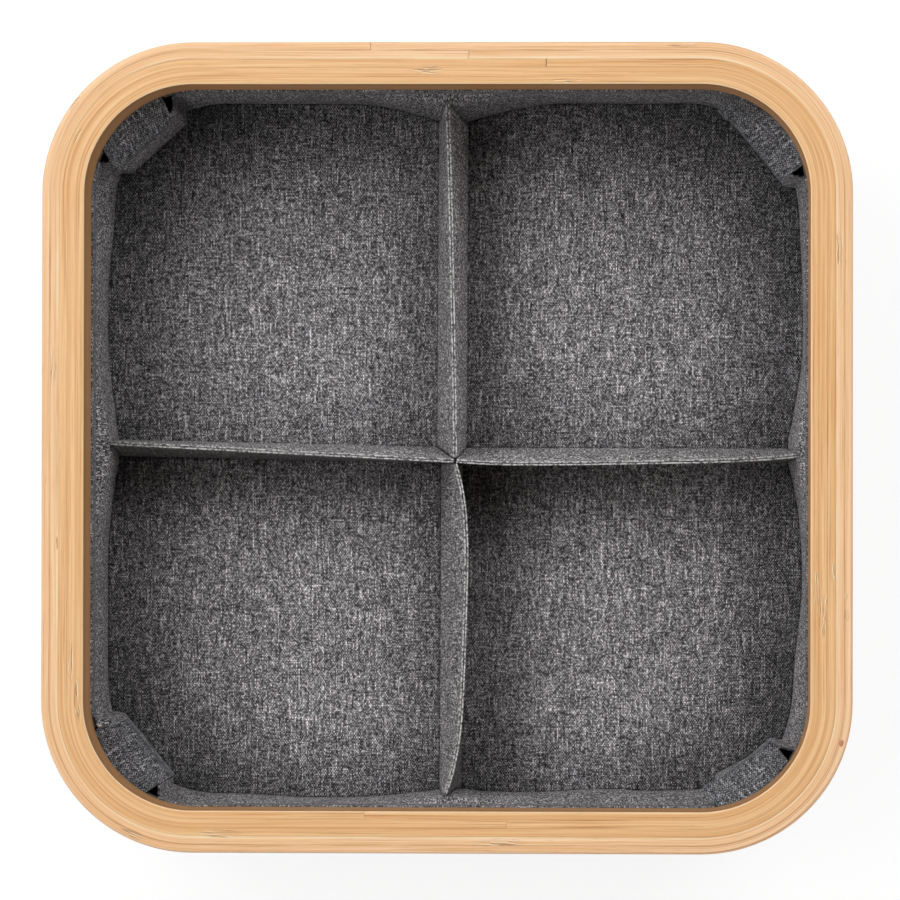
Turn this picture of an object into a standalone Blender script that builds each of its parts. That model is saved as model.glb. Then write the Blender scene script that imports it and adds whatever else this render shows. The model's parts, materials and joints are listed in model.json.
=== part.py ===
"""Square fabric organizer with four compartments under a laminated bamboo rim.

Units are metres and +Z is up. The origin is on the surface that the organizer stands on, under its
centre. +X is the right side and +Y is the back. The rim is bent from five bamboo plies. Under it runs a
steel wire hoop, held by eight clips. The fabric basket hangs from the hoop by four hems and four corner
tabs. Its lining is sewn as four pockets whose neighbouring walls meet as the dividers, and each tab holds a
flat panel of the lining across its rounded corner.
"""

import math

import bmesh
import bpy
from mathutils import Matrix, Vector

# Fits
FIT = 0.0003
OVERRUN = 0.002

# Rim
OVERALL_HEIGHT = 0.106
RIM_WIDTH = 0.300
RIM_HEIGHT = 0.028
RIM_CORNER_RADIUS = 0.056
RIM_EDGE_RADIUS = 0.0015
EDGE_RADIUS_SHARE = 0.9
PLY_COUNT = 5
PLY_THICKNESS = 0.0029
# Each ply is one strip whose ends butt together: the side that has the joint, and how far along it.
PLY_JOINT_SHARES = ((1, 0.150), (1, -0.043), (1, -0.195), (3, 0.120), (3, -0.160))

# Cloth and boards
CLOTH_THICKNESS = 0.0008
LEAF_THICKNESS = 0.0006
WALL_BOARD_THICKNESS = 0.0012
BOARD_END_PLAY = 0.002
BASE_BOARD_THICKNESS = 0.0025

# Hoop, hems and corner tabs
WIRE_DIAMETER = 0.0032
HEM_PROUD = 0.0006
HEM_DEPTH = 0.010
TAB_WIDTH = 0.0294
TAB_WIDTH_SHARES = (1.04, 1.0, 1.03, 0.92)
TAB_DRAW_IN = 0.0094
TAB_LEG = 0.0065
CORNER_DROP = 0.006
# How far each tab sits from the middle of its rounded corner, in degrees round the corner.
TAB_TURN_DEGREES = (-5.0, -3.0, -6.0, -9.0)

# Clips and screws
CLIP_WIDTH = 0.004
CLIP_THICKNESS = 0.0008
CLIP_FOOT = 0.003
CLIP_GLUE_LINE = 2
SCREW_DIAMETER = 0.0018
SCREW_HEAD_DIAMETER = 0.0036
SCREW_HEAD_HEIGHT = 0.0012
SCREW_LENGTH = 0.010
SCREW_HEAD_SHARES = (0.55, 0.85)

# Dividers, each made of two cloth leaves joined at the top and spread at the floor
DIVIDER_DEPTH = 0.050
LEAF_SPREAD = 0.0042
DIVIDER_SWAY = 0.006
CROSSING_TOP_SHARES = (0.28, -0.75)
CROSSING_BASE_SHARES = (-0.20, -0.30)
# Where each divider ends at its wall and how far its middle bows, for the right, back, left and front.
DIVIDER_WALL_SHARES = (-0.38, -0.23, 0.35, -0.37)
DIVIDER_BOW_SHARES = (-0.33, 0.06, 0.0, 1.0)
DIVIDER_STEPS = 8

# Where the dividers draw the lining in, and the soft corners of the basket
LINING_DRAW_IN = 0.006
LINING_DRAW_REACH = 0.040
LINING_FLOOR_SHARES = (1.0, 1.3, 0.75, 0.65)
LINING_TOP_SHARES = (0.55, 0.6, 0.85, 0.5)
CORNER_BLUNTNESS = 0.006

# Smoothness of arcs, and the angle from which an edge stays sharp
SHARP_ANGLE_DEGREES = 30.0
CORNER_STEPS = 12
EDGE_STEPS = 3
WIRE_SIDES = 12
SCREW_SIDES = 12
BEND_STEPS = 6

SIDES = ("right", "back", "left", "front")
CORNERS = ("back_right", "back_left", "front_left", "front_right")

# The stack of cloth and board in a wall, and what follows from it
RIM_WALL = PLY_COUNT * PLY_THICKNESS + (PLY_COUNT - 1) * FIT
WALL_STACK = 2 * CLOTH_THICKNESS + WALL_BOARD_THICKNESS + 2 * FIT
HEM_INNER_HALF = WALL_STACK / 2 + FIT
HEM_OUTER_HALF = HEM_INNER_HALF + CLOTH_THICKNESS
HOOP_OFFSET = RIM_WALL + HEM_PROUD - HEM_OUTER_HALF
OUTER_CLOTH_OFFSET = HOOP_OFFSET - WALL_STACK / 2
WALL_BOARD_OFFSET = OUTER_CLOTH_OFFSET + CLOTH_THICKNESS + FIT
LINING_OFFSET = HOOP_OFFSET + WALL_STACK / 2 - CLOTH_THICKNESS
HOOP_RADIUS = RIM_CORNER_RADIUS - HOOP_OFFSET
HOOK_REACH = WIRE_DIAMETER / 2 + FIT + CLIP_THICKNESS
CHORD_RADIUS = HOOP_RADIUS - TAB_DRAW_IN
MERGE_DISTANCE = FIT / 10

# Levels
RIM_BOTTOM = OVERALL_HEIGHT - RIM_HEIGHT
HOOP_LEVEL = RIM_BOTTOM - FIT - HEM_OUTER_HALF
WALL_TOP = HOOP_LEVEL - WIRE_DIAMETER / 2 - FIT
HEM_BOTTOM = HOOP_LEVEL - HEM_DEPTH
CORNER_TOP = WALL_TOP - CORNER_DROP
OUTER_CORNER_TOP = HOOP_LEVEL - HOOK_REACH - FIT
TAB_BOTTOM = CORNER_TOP - TAB_LEG
BOARD_BOTTOM = CLOTH_THICKNESS + FIT
LINING_BOTTOM = BOARD_BOTTOM + BASE_BOARD_THICKNESS + FIT
DIVIDER_TOP = OVERALL_HEIGHT - DIVIDER_DEPTH

# Lengths along the hoop
STRAIGHT = RIM_WIDTH - 2 * RIM_CORNER_RADIUS
CORNER_ARC = HOOP_RADIUS * math.pi / 2
SIDE_LENGTH = STRAIGHT + CORNER_ARC
DIVIDER_HALF_BASE = FIT / 2 + LEAF_THICKNESS + LEAF_SPREAD


def clear_scene():
    """Remove every object of the open file."""
    for item in list(bpy.data.objects):
        bpy.data.objects.remove(item, do_unlink=True)


def make_material(name, colour, roughness, metallic=0.0):
    """Return a Principled material of one colour."""
    material = bpy.data.materials.new(name)
    material.use_nodes = True
    shader = material.node_tree.nodes["Principled BSDF"]
    shader.inputs["Base Color"].default_value = (*colour, 1.0)
    shader.inputs["Roughness"].default_value = roughness
    shader.inputs["Metallic"].default_value = metallic
    return material


def add_object(name, bm, material, smooth=False):
    """Turn a bmesh into a named object that faces outward."""
    bmesh.ops.recalc_face_normals(bm, faces=bm.faces)
    mesh = bpy.data.meshes.new(name)
    bm.to_mesh(mesh)
    bm.free()
    mesh.materials.append(material)
    if smooth:
        mesh.shade_smooth()
        mesh.set_sharp_from_angle(angle=math.radians(SHARP_ANGLE_DEGREES))
    item = bpy.data.objects.new(name, mesh)
    bpy.context.collection.objects.link(item)
    return item


def ring_point(distance, offset, level):
    """Return a point of the rim's outline moved inward by offset.

    The distance runs along the hoop, anticlockwise from the middle of the right side, so that points of
    different offsets at one distance lie on one line square to the rim.
    """
    side, along = divmod(distance + STRAIGHT / 2, SIDE_LENGTH)
    if along <= STRAIGHT:
        point = Vector((RIM_WIDTH / 2 - offset, along - STRAIGHT / 2, level))
    else:
        angle = (along - STRAIGHT) / HOOP_RADIUS
        reach = RIM_CORNER_RADIUS - offset
        point = Vector((STRAIGHT / 2 + reach * math.cos(angle), STRAIGHT / 2 + reach * math.sin(angle), level))
    return Matrix.Rotation(side * math.pi / 2, 3, "Z") @ point


def ring_angle(distance):
    """Return the direction square to the rim, outward, at a distance along the hoop."""
    side, along = divmod(distance + STRAIGHT / 2, SIDE_LENGTH)
    return side * math.pi / 2 + max(0.0, along - STRAIGHT) / HOOP_RADIUS


def tab_turn(corner):
    """Return the angle by which a corner's tab sits off the middle of the corner."""
    return math.radians(TAB_TURN_DEGREES[corner % len(CORNERS)])


def tab_centre(corner):
    """Return the distance along the hoop of the middle of a corner's tab."""
    return corner * SIDE_LENGTH + SIDE_LENGTH / 2 + tab_turn(corner) * HOOP_RADIUS


def tab_half(corner):
    """Return half the width of a corner's tab."""
    return TAB_WIDTH * TAB_WIDTH_SHARES[corner % len(CORNERS)] / 2


def chord_reach(corner):
    """Return how far along the hoop, from the middle of a tab, its flat panel of lining runs."""
    return HOOP_RADIUS * math.atan(tab_half(corner) / CHORD_RADIUS)


def clip_reach(corner):
    """Return how far along the hoop a clip stands from the middle of the tab, clear of its square end."""
    return HOOP_RADIUS * math.asin((tab_half(corner) + FIT + CLIP_WIDTH / 2) / (HOOP_RADIUS - HOOK_REACH))


def hem_start(corner):
    """Return how far along the hoop a hem starts from the middle of the tab, clear of the clip."""
    clear = math.asin((CLIP_WIDTH / 2 + FIT) / (HOOP_RADIUS - HEM_OUTER_HALF))
    return clip_reach(corner) + HOOP_RADIUS * clear


def corner_point(corner, across, inward, level):
    """Return a point near a corner tab: across from its middle, and inward from the wire along the tab."""
    angle = corner * math.pi / 2 + math.pi / 4 + tab_turn(corner)
    centre = Matrix.Rotation(corner * math.pi / 2, 3, "Z") @ Vector((STRAIGHT / 2, STRAIGHT / 2, level))
    out = math.sqrt(HOOP_RADIUS**2 - across**2) - inward
    along = Vector((math.cos(angle), math.sin(angle), 0.0))
    return centre + along * out + Vector((-along.y, along.x, 0.0)) * across


def blend(start, end, share):
    """Return the value a share of the way from start to end."""
    return start + (end - start) * share


def nearest_tab(distance):
    """Return the corner of the nearest tab, and how far a place is from that tab's middle."""
    corner = min(range(-1, len(CORNERS) + 1), key=lambda index: abs(distance - tab_centre(index)))
    return corner, abs(distance - tab_centre(corner))


def corner_draw(distance, level):
    """Return how far the basket's outer corner lies inside the rim's, which is most at the floor.

    Its arc there is larger by the bluntness, so it starts that much sooner along the straight.
    """
    along = (distance + STRAIGHT / 2) % SIDE_LENGTH
    radius = HOOP_RADIUS + CORNER_BLUNTNESS
    if along > STRAIGHT:
        angle = (along - STRAIGHT) / HOOP_RADIUS
        reach = CORNER_BLUNTNESS * (math.cos(angle) + math.sin(angle))
        draw = HOOP_RADIUS + reach - math.sqrt(reach**2 - 2 * CORNER_BLUNTNESS**2 + radius**2)
    else:
        short = max(0.0, CORNER_BLUNTNESS - min(along, STRAIGHT - along))
        draw = radius - math.sqrt(radius**2 - short**2)
    return draw * max(0.0, 1 - level / HEM_BOTTOM)


def chord_draw(distance):
    """Return how far the lining lies inside the hoop's arc where a tab holds it flat across a corner."""
    corner, gap = nearest_tab(distance)
    reach = chord_reach(corner)
    held = HOOP_RADIUS - CHORD_RADIUS / math.cos(min(gap, reach) / HOOP_RADIUS)
    return held * (1 - min(1.0, max(0.0, (gap - reach) / (hem_start(corner) - reach))))


def divider_draw(distance, level):
    """Return how far the nearest divider draws the lining in."""
    side = round(distance / SIDE_LENGTH)
    gap = max(0.0, abs(distance - side * SIDE_LENGTH) - DIVIDER_HALF_BASE)
    side %= len(SIDES)
    if gap >= LINING_DRAW_REACH or level >= HEM_BOTTOM:
        return 0.0
    lower = LINING_DRAW_IN * LINING_FLOOR_SHARES[side]
    upper = LINING_DRAW_IN * LINING_TOP_SHARES[side]
    height = (level - LINING_BOTTOM) / (DIVIDER_TOP - LINING_BOTTOM)
    draw = blend(lower, upper, min(1.0, height))
    if level > DIVIDER_TOP:
        draw *= (HEM_BOTTOM - level) / (HEM_BOTTOM - DIVIDER_TOP)
    step, rest = divmod(gap / LINING_DRAW_REACH * BEND_STEPS, 1)
    return draw * blend((1 - step / BEND_STEPS) ** 2, (1 - (step + 1) / BEND_STEPS) ** 2, rest)


def corner_stations(corner):
    """Return the distances at which a wall that runs round a corner changes its shape."""
    reach = chord_reach(corner)
    hem = hem_start(corner)
    steps = (0.0, reach / 2, reach, blend(reach, hem, 0.5), hem, hem + 2 * FIT)
    centre = tab_centre(corner)
    start = corner * SIDE_LENGTH + STRAIGHT / 2
    end = start + CORNER_ARC
    places = [centre + sign * step for step in steps for sign in (-1, 1)]
    places += [start - CORNER_BLUNTNESS, start, blend(start, min(places), 0.5)]
    places += [blend(max(places), end, 0.5), end, end + CORNER_BLUNTNESS]
    places.sort()
    return [place for index, place in enumerate(places) if not index or place - places[index - 1] > FIT]


def wall_top(distance, corner_top):
    """Return the level of a wall's top edge, which drops to its corner level where the hems leave off."""
    corner, gap = nearest_tab(distance)
    return corner_top if gap <= hem_start(corner) + FIT else WALL_TOP


def sweep(name, sections, material, smooth=False):
    """Loft a solid through sections of equal point counts, by extruding the first one step by step."""
    bm = bmesh.new()
    face = bm.faces.new([bm.verts.new(place) for place in sections[0]])
    for section in sections[1:]:
        grown = bmesh.ops.extrude_face_region(bm, geom=[face, *face.edges, *face.verts])["geom"]
        face = next(part for part in grown if isinstance(part, bmesh.types.BMFace))
        for vert, place in zip(face.verts, section):
            vert.co = place
    return add_object(name, bm, material, smooth)


def ring_sections(distances, outline_at):
    """Return the sections of a solid that runs along the hoop.

    outline_at gives, for a distance, the outline of the section as pairs of offset and level.
    """
    return [
        [ring_point(distance, offset, level) for offset, level in outline_at(distance)]
        for distance in distances
    ]


def thicken(path, thickness):
    """Return the closed outline of a strip of even thickness along a flat path."""
    left = []
    right = []
    for index, point in enumerate(path):
        before = path[max(index - 1, 0)]
        after = path[min(index + 1, len(path) - 1)]
        first = (point - before) if index else (after - point)
        second = (after - point) if index < len(path) - 1 else first
        normal_a = Vector((-first.y, first.x)).normalized()
        normal_b = Vector((-second.y, second.x)).normalized()
        middle = (normal_a + normal_b).normalized()
        reach = thickness / 2 / middle.dot(normal_a)
        left.append(point + middle * reach)
        right.append(point - middle * reach)
    return left + right[::-1]


def arc(centre, radius, start, end, steps):
    """Return points on an arc, with angles in radians."""
    angles = [blend(start, end, step / steps) for step in range(steps + 1)]
    return [Vector((centre[0] + radius * math.cos(a), centre[1] + radius * math.sin(a))) for a in angles]


def ply_outline(index):
    """Return a ply's section as offset and level, with the rim's edges rounded on its outer plies."""
    near = index * (PLY_THICKNESS + FIT)
    far = near + PLY_THICKNESS
    round_edge = min(RIM_EDGE_RADIUS, EDGE_RADIUS_SHARE * PLY_THICKNESS)
    quarter = math.pi / 2
    outline = []
    for corner, (offset, level, rounded) in enumerate((
        (far, RIM_BOTTOM, index == PLY_COUNT - 1),
        (far, OVERALL_HEIGHT, index == PLY_COUNT - 1),
        (near, OVERALL_HEIGHT, index == 0),
        (near, RIM_BOTTOM, index == 0),
    )):
        if not rounded:
            outline.append(Vector((offset, level)))
            continue
        middle = (
            offset + (round_edge if offset == near else -round_edge),
            level + (round_edge if level == RIM_BOTTOM else -round_edge),
        )
        start = (corner - 1) * quarter
        outline += arc(middle, round_edge, start, start + quarter, EDGE_STEPS)
    return outline


def ply_stations(index):
    """Return the distances of a ply's sections, from one side of its butt joint round to the other."""
    side, share = PLY_JOINT_SHARES[index % len(PLY_JOINT_SHARES)]
    joint = side * SIDE_LENGTH + share * STRAIGHT
    stations = []
    for corner in range(len(CORNERS)):
        start = corner * SIDE_LENGTH + STRAIGHT / 2
        stations += [start + CORNER_ARC * step / CORNER_STEPS for step in range(CORNER_STEPS + 1)]
    full = len(CORNERS) * SIDE_LENGTH
    turned = sorted(joint + (place - joint) % full for place in stations)
    return [joint + FIT / 2] + turned + [joint + full - FIT / 2]


def build_rim(bamboo):
    """Build the five plies, the second and third drilled for the clip screws."""
    cutter = build_screw_holes()
    for index in range(PLY_COUNT):
        outline = ply_outline(index)
        sections = ring_sections(ply_stations(index), lambda distance: outline)
        ply = sweep(f"rim_ply_{index + 1}", sections, bamboo)
        if index in (CLIP_GLUE_LINE - 1, CLIP_GLUE_LINE):
            holes = ply.modifiers.new("screw_holes", "BOOLEAN")
            holes.object = cutter
            holes.operation = "DIFFERENCE"
            holes.solver = "EXACT"


def clip_places():
    """Return the name and the distance along the hoop of each clip, one on each side of every tab."""
    places = []
    for corner, name in enumerate(CORNERS):
        places.append((f"{name}_1", tab_centre(corner) - clip_reach(corner)))
        places.append((f"{name}_2", tab_centre(corner) + clip_reach(corner)))
    return places


def screw_offset():
    """Return how far inside the rim's outer face the screws stand, on a glue line."""
    return CLIP_GLUE_LINE * (PLY_THICKNESS + FIT) - FIT / 2


def place_at_clip(item, distance):
    """Stand an object under the rim at a clip, with its +X side toward the hoop."""
    item.location = ring_point(distance, screw_offset(), RIM_BOTTOM)
    item.rotation_euler = (0.0, 0.0, ring_angle(distance) + math.pi)


def build_screw_holes():
    """Build the cutter of the blind screw holes in the rim, one cylinder for each clip."""
    bm = bmesh.new()
    radius = SCREW_DIAMETER / 2 + FIT
    depth = SCREW_LENGTH + FIT + OVERRUN
    for _name, distance in clip_places():
        centre = ring_point(distance, screw_offset(), RIM_BOTTOM + depth / 2 - OVERRUN)
        bmesh.ops.create_cone(
            bm, cap_ends=True, segments=SCREW_SIDES, radius1=radius, radius2=radius, depth=depth,
            matrix=Matrix.Translation(centre) @ Matrix.Rotation(ring_angle(distance), 4, "Z"),
        )
    cutter = add_object("screw_hole_cutter", bm, make_material("cutter", (0.5, 0.5, 0.5), 0.5))
    cutter.hide_render = True
    cutter.display_type = "WIRE"
    return cutter


def build_hoop(steel):
    """Build the closed wire hoop under the rim's inner edge."""
    stations = []
    for corner in range(len(CORNERS)):
        start = corner * SIDE_LENGTH + STRAIGHT / 2
        stations += [start + CORNER_ARC * step / CORNER_STEPS for step in range(CORNER_STEPS + 1)]
    points = [ring_point(distance, HOOP_OFFSET, HOOP_LEVEL) for distance in stations]
    curve = bpy.data.curves.new("wire_hoop", "CURVE")
    curve.dimensions = "3D"
    curve.bevel_depth = WIRE_DIAMETER / 2
    curve.bevel_resolution = (WIRE_SIDES - 4) // 2
    line = curve.splines.new("POLY")
    line.points.add(len(points) - 1)
    for target, point in zip(line.points, points):
        target.co = (*point, 1.0)
    line.use_cyclic_u = True
    curve.materials.append(steel)
    item = bpy.data.objects.new("wire_hoop", curve)
    bpy.context.collection.objects.link(item)


def clip_mesh(steel):
    """Build one clip: a foot under the rim and a hook round the wire, drilled for its screw."""
    wire_x = HOOP_OFFSET - screw_offset()
    wire_z = HOOP_LEVEL - RIM_BOTTOM
    hook = WIRE_DIAMETER / 2 + FIT + CLIP_THICKNESS / 2
    foot_z = -FIT - CLIP_THICKNESS / 2
    path = [Vector((-CLIP_FOOT, foot_z)), Vector((wire_x - hook, foot_z))]
    path += arc((wire_x, wire_z), hook, math.pi, 2 * math.pi, BEND_STEPS)
    path.append(Vector((wire_x + hook, -FIT)))
    outline = thicken(path, CLIP_THICKNESS)
    sections = [[Vector((p.x, y, p.y)) for p in outline] for y in (-CLIP_WIDTH / 2, CLIP_WIDTH / 2)]
    clip = sweep("clip_blank", sections, steel)
    bm = bmesh.new()
    radius = SCREW_DIAMETER / 2 + FIT
    bmesh.ops.create_cone(
        bm, cap_ends=True, segments=SCREW_SIDES, radius1=radius, radius2=radius, depth=2 * OVERRUN,
        matrix=Matrix.Translation((0.0, 0.0, foot_z)),
    )
    drill = add_object("clip_drill", bm, steel)
    hole = clip.modifiers.new("hole", "BOOLEAN")
    hole.object = drill
    hole.operation = "DIFFERENCE"
    hole.solver = "EXACT"
    bpy.context.view_layer.update()
    drilled = bpy.data.meshes.new_from_object(clip.evaluated_get(bpy.context.evaluated_depsgraph_get()))
    bpy.data.objects.remove(clip, do_unlink=True)
    bpy.data.objects.remove(drill, do_unlink=True)
    return drilled


def screw_mesh(steel):
    """Turn one pan-head screw round its axis, head down and shank up into the rim."""
    seat = -FIT - CLIP_THICKNESS - FIT
    head = SCREW_HEAD_DIAMETER / 2
    lower, upper = SCREW_HEAD_SHARES
    profile = (
        (0.0, seat - SCREW_HEAD_HEIGHT),
        (head * lower, seat - SCREW_HEAD_HEIGHT),
        (head * upper, seat - SCREW_HEAD_HEIGHT * upper),
        (head, seat - SCREW_HEAD_HEIGHT * (1 - lower)),
        (head, seat),
        (SCREW_DIAMETER / 2, seat),
        (SCREW_DIAMETER / 2, SCREW_LENGTH - SCREW_DIAMETER),
        (0.0, SCREW_LENGTH),
    )
    bm = bmesh.new()
    verts = [bm.verts.new((x, 0.0, z)) for x, z in profile]
    edges = [bm.edges.new(pair) for pair in zip(verts, verts[1:])]
    bmesh.ops.spin(
        bm, geom=verts + edges, cent=(0.0, 0.0, 0.0), axis=(0.0, 0.0, 1.0), angle=2 * math.pi,
        steps=SCREW_SIDES, use_merge=True, use_duplicate=False,
    )
    bmesh.ops.remove_doubles(bm, verts=bm.verts, dist=MERGE_DISTANCE)
    item = add_object("screw_blank", bm, steel, smooth=True)
    mesh = item.data
    bpy.data.objects.remove(item, do_unlink=True)
    return mesh


def build_fixings(black_steel, zinc):
    """Build the clips and screws that hold the hoop to the rim."""
    clip = clip_mesh(black_steel)
    screw = screw_mesh(zinc)
    for name, distance in clip_places():
        for kind, mesh in (("hoop_clip", clip), ("clip_screw", screw)):
            item = bpy.data.objects.new(f"{kind}_{name}", mesh)
            bpy.context.collection.objects.link(item)
            place_at_clip(item, distance)


def build_hems(cloth):
    """Build the hem of each side, folded over the wire and down both faces of the wall."""
    middle = HEM_INNER_HALF + CLOTH_THICKNESS / 2
    path = [Vector((HOOP_OFFSET + middle, HEM_BOTTOM))]
    path += arc((HOOP_OFFSET, HOOP_LEVEL), middle, 0.0, math.pi, 2 * EDGE_STEPS)
    path.append(Vector((HOOP_OFFSET - middle, HEM_BOTTOM)))
    outline = thicken(path, CLOTH_THICKNESS)
    for side, name in enumerate(SIDES):
        start = tab_centre(side - 1) + hem_start(side - 1)
        end = tab_centre(side) - hem_start(side)
        flat_start = side * SIDE_LENGTH - STRAIGHT / 2
        flat_end = side * SIDE_LENGTH + STRAIGHT / 2
        stations = [blend(start, flat_start, step / EDGE_STEPS) for step in range(EDGE_STEPS + 1)]
        stations += [blend(flat_end, end, step / EDGE_STEPS) for step in range(EDGE_STEPS + 1)]
        sweep(f"hem_{name}", ring_sections(stations, lambda distance: outline), cloth)


def tab_outline(across):
    """Return a corner tab's section, as how far inward from the wire and at which level.

    The strap runs down the outside of the wall, over the wire and down to the flat panel of lining.
    """
    middle = HEM_INNER_HALF + CLOTH_THICKNESS / 2
    held = math.sqrt(HOOP_RADIUS**2 - across**2) - CHORD_RADIUS
    knee = CORNER_TOP + FIT + CLOTH_THICKNESS
    upper = math.pi / 2 - math.atan2(HOOP_LEVEL - knee, held)
    path = [Vector((held + middle, TAB_BOTTOM)), Vector((held + middle, knee + middle * math.sin(upper) / 2))]
    path += arc((0.0, HOOP_LEVEL), middle, upper, math.pi, BEND_STEPS)
    path.append(Vector((-middle, TAB_BOTTOM)))
    return thicken(path, CLOTH_THICKNESS)


def build_tabs(cloth):
    """Build the square-ended strap that bridges each rounded corner."""
    steps = 2 * EDGE_STEPS
    for corner, name in enumerate(CORNERS):
        sections = []
        for step in range(steps + 1):
            across = blend(-tab_half(corner), tab_half(corner), step / steps)
            sections.append([corner_point(corner, across, *place) for place in tab_outline(across)])
        sweep(f"corner_tab_{name}", sections, cloth)


def outer_wall_outline(distance):
    """Return the outer wall cloth's section at a distance along the hoop."""
    levels = (0.0, HEM_BOTTOM, wall_top(distance, OUTER_CORNER_TOP))
    outer = [(OUTER_CLOTH_OFFSET + corner_draw(distance, level), level) for level in levels]
    inner = [(offset + CLOTH_THICKNESS, level) for offset, level in reversed(outer)]
    return outer + inner


def build_outer_cloth(cloth):
    """Build the wrap-round outer wall, with its closing seam in a back corner, and the bottom cloth."""
    seam = tab_centre(1)
    full = len(CORNERS) * SIDE_LENGTH
    stations = []
    for corner in range(len(CORNERS)):
        stations += [seam + (place - seam) % full for place in corner_stations(corner)]
    stations = [place for place in sorted(stations) if seam + FIT < place < seam + full - FIT]
    stations = [seam + FIT / 2] + stations + [seam + full - FIT / 2]
    sections = [
        [ring_point(place % full, offset, level) for offset, level in outer_wall_outline(place % full)]
        for place in stations
    ]
    sweep("outer_wall_cloth", sections, cloth)
    build_sheet("bottom_cloth", OUTER_CLOTH_OFFSET + CLOTH_THICKNESS + FIT, 0.0, CLOTH_THICKNESS, cloth)


def build_sheet(name, offset, level, thickness, material):
    """Build a flat sheet whose outline follows the basket's walls."""
    outline = []
    for corner in range(len(CORNERS)):
        for place in corner_stations(corner):
            outline.append(ring_point(place, offset + corner_draw(place, level), level))
    lift = Vector((0.0, 0.0, thickness))
    sweep(name, [outline, [point + lift for point in outline]], material)


def build_boards(board):
    """Build the flat stiffener inside each wall and the one under the floor."""
    for side, name in enumerate(SIDES):
        near = WALL_BOARD_OFFSET
        far = WALL_BOARD_OFFSET + WALL_BOARD_THICKNESS
        outline = [(near, BOARD_BOTTOM), (near, WALL_TOP), (far, WALL_TOP), (far, BOARD_BOTTOM)]
        middle = side * SIDE_LENGTH
        half = STRAIGHT / 2 - CORNER_BLUNTNESS - BOARD_END_PLAY
        ends = (middle - half, middle + half)
        sweep(f"wall_board_{name}", ring_sections(ends, lambda distance: outline), board)
    build_sheet("base_board", LINING_OFFSET, BOARD_BOTTOM, BASE_BOARD_THICKNESS, board)


def lining_offset(distance, level):
    """Return the offset of the lining's outer face."""
    corner = max(corner_draw(distance, level), chord_draw(distance))
    return LINING_OFFSET + corner + divider_draw(distance, level)


def lining_outline(distance):
    """Return the lining's section at a distance along the hoop."""
    low = blend(LINING_BOTTOM, DIVIDER_TOP, 0.5)
    levels = (LINING_BOTTOM, low, DIVIDER_TOP, HEM_BOTTOM, wall_top(distance, CORNER_TOP))
    outer = [(lining_offset(distance, level), level) for level in levels]
    inner = [(offset + CLOTH_THICKNESS, level) for offset, level in reversed(outer)]
    return outer + inner


def pocket_stations(corner):
    """Return the distances of a pocket's wall, from one divider round the corner to the next."""
    start = corner * SIDE_LENGTH
    end = start + SIDE_LENGTH
    reaches = [DIVIDER_HALF_BASE + LINING_DRAW_REACH * step / BEND_STEPS for step in range(BEND_STEPS)]
    near = [start + reach for reach in reaches]
    far = [end - reach for reach in reversed(reaches)]
    return [start + FIT / 2] + near + corner_stations(corner) + far + [end - FIT / 2]


def crossing(height):
    """Return where the dividers cross, at a share of their height."""
    return [
        DIVIDER_SWAY * blend(base, top, height)
        for base, top in zip(CROSSING_BASE_SHARES, CROSSING_TOP_SHARES)
    ]


def divider_line(side, run, height):
    """Return the sideways place of a divider, at a share of its run and of its height."""
    across = 1 if SIDES[side] in ("right", "left") else 0
    base = crossing(0.0)[across]
    top = blend(crossing(1.0)[across], DIVIDER_SWAY * DIVIDER_WALL_SHARES[side], run)
    top += DIVIDER_SWAY * DIVIDER_BOW_SHARES[side] * 4 * run * (1 - run)
    return blend(base, top, height)


def leaf_face(side, hand, run, height):
    """Return the sideways place of a leaf's pocket face; hand is 1 or -1 along the sideways axis."""
    stand = FIT / 2 + LEAF_THICKNESS + LEAF_SPREAD * (1 - height)
    return divider_line(side, run, height) + hand * stand


def wall_face(side, sideways, level):
    """Return how far from the centre a pocket's wall stands, seen along a divider."""
    turn = 1 if SIDES[side] in ("right", "front") else -1
    distance = side * SIDE_LENGTH + turn * sideways
    return RIM_WIDTH / 2 - lining_offset(distance, level) - CLOTH_THICKNESS


def leaf_sections(side, hand):
    """Return the sections of a divider's leaf from the crossing to the wall.

    A leaf of the front or back divider stops short of the leaf that crosses it, and a leaf of the left or
    right divider runs on to the hidden face of the first.
    """
    name = SIDES[side]
    outward = 1 if name in ("right", "back") else -1
    along_x = name in ("right", "left")
    cross_side = SIDES.index("back" if hand > 0 else "front") if along_x else (
        SIDES.index("right" if hand > 0 else "left"))
    sections = []
    for step in range(DIVIDER_STEPS + 1):
        share = step / DIVIDER_STEPS
        section = []
        for height, shell in ((0.0, 0), (0.5, 0), (1.0, 0), (1.0, 1), (0.5, 1), (0.0, 1)):
            level = blend(LINING_BOTTOM, DIVIDER_TOP, height)
            if along_x:
                start = leaf_face(cross_side, outward, 0.0, height) - outward * LEAF_THICKNESS
            else:
                start = leaf_face(cross_side, outward, 0.0, height) + outward * FIT
            depth = hand * LEAF_THICKNESS * shell
            end = outward * (wall_face(side, leaf_face(side, hand, 1.0, height) - depth, level) - FIT)
            sideways = leaf_face(side, hand, share, height) - depth
            forward = blend(start, end, share)
            section.append(Vector((forward, sideways, level) if along_x else (sideways, forward, level)))
        sections.append(section)
    return sections


def build_lining(cloth):
    """Build each pocket's wall and floor, and the two leaves of each divider."""
    for corner, name in enumerate(CORNERS):
        sections = ring_sections(pocket_stations(corner), lining_outline)
        sweep(f"pocket_wall_{name}", sections, cloth)
        build_pocket_floor(corner, name, cloth)
    for side, name in enumerate(SIDES):
        hands = ("front", "back") if name in ("right", "left") else ("left", "right")
        for hand, hand_name in zip((-1, 1), hands):
            sweep(f"divider_{name}_leaf_{hand_name}", leaf_sections(side, hand), cloth)


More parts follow.
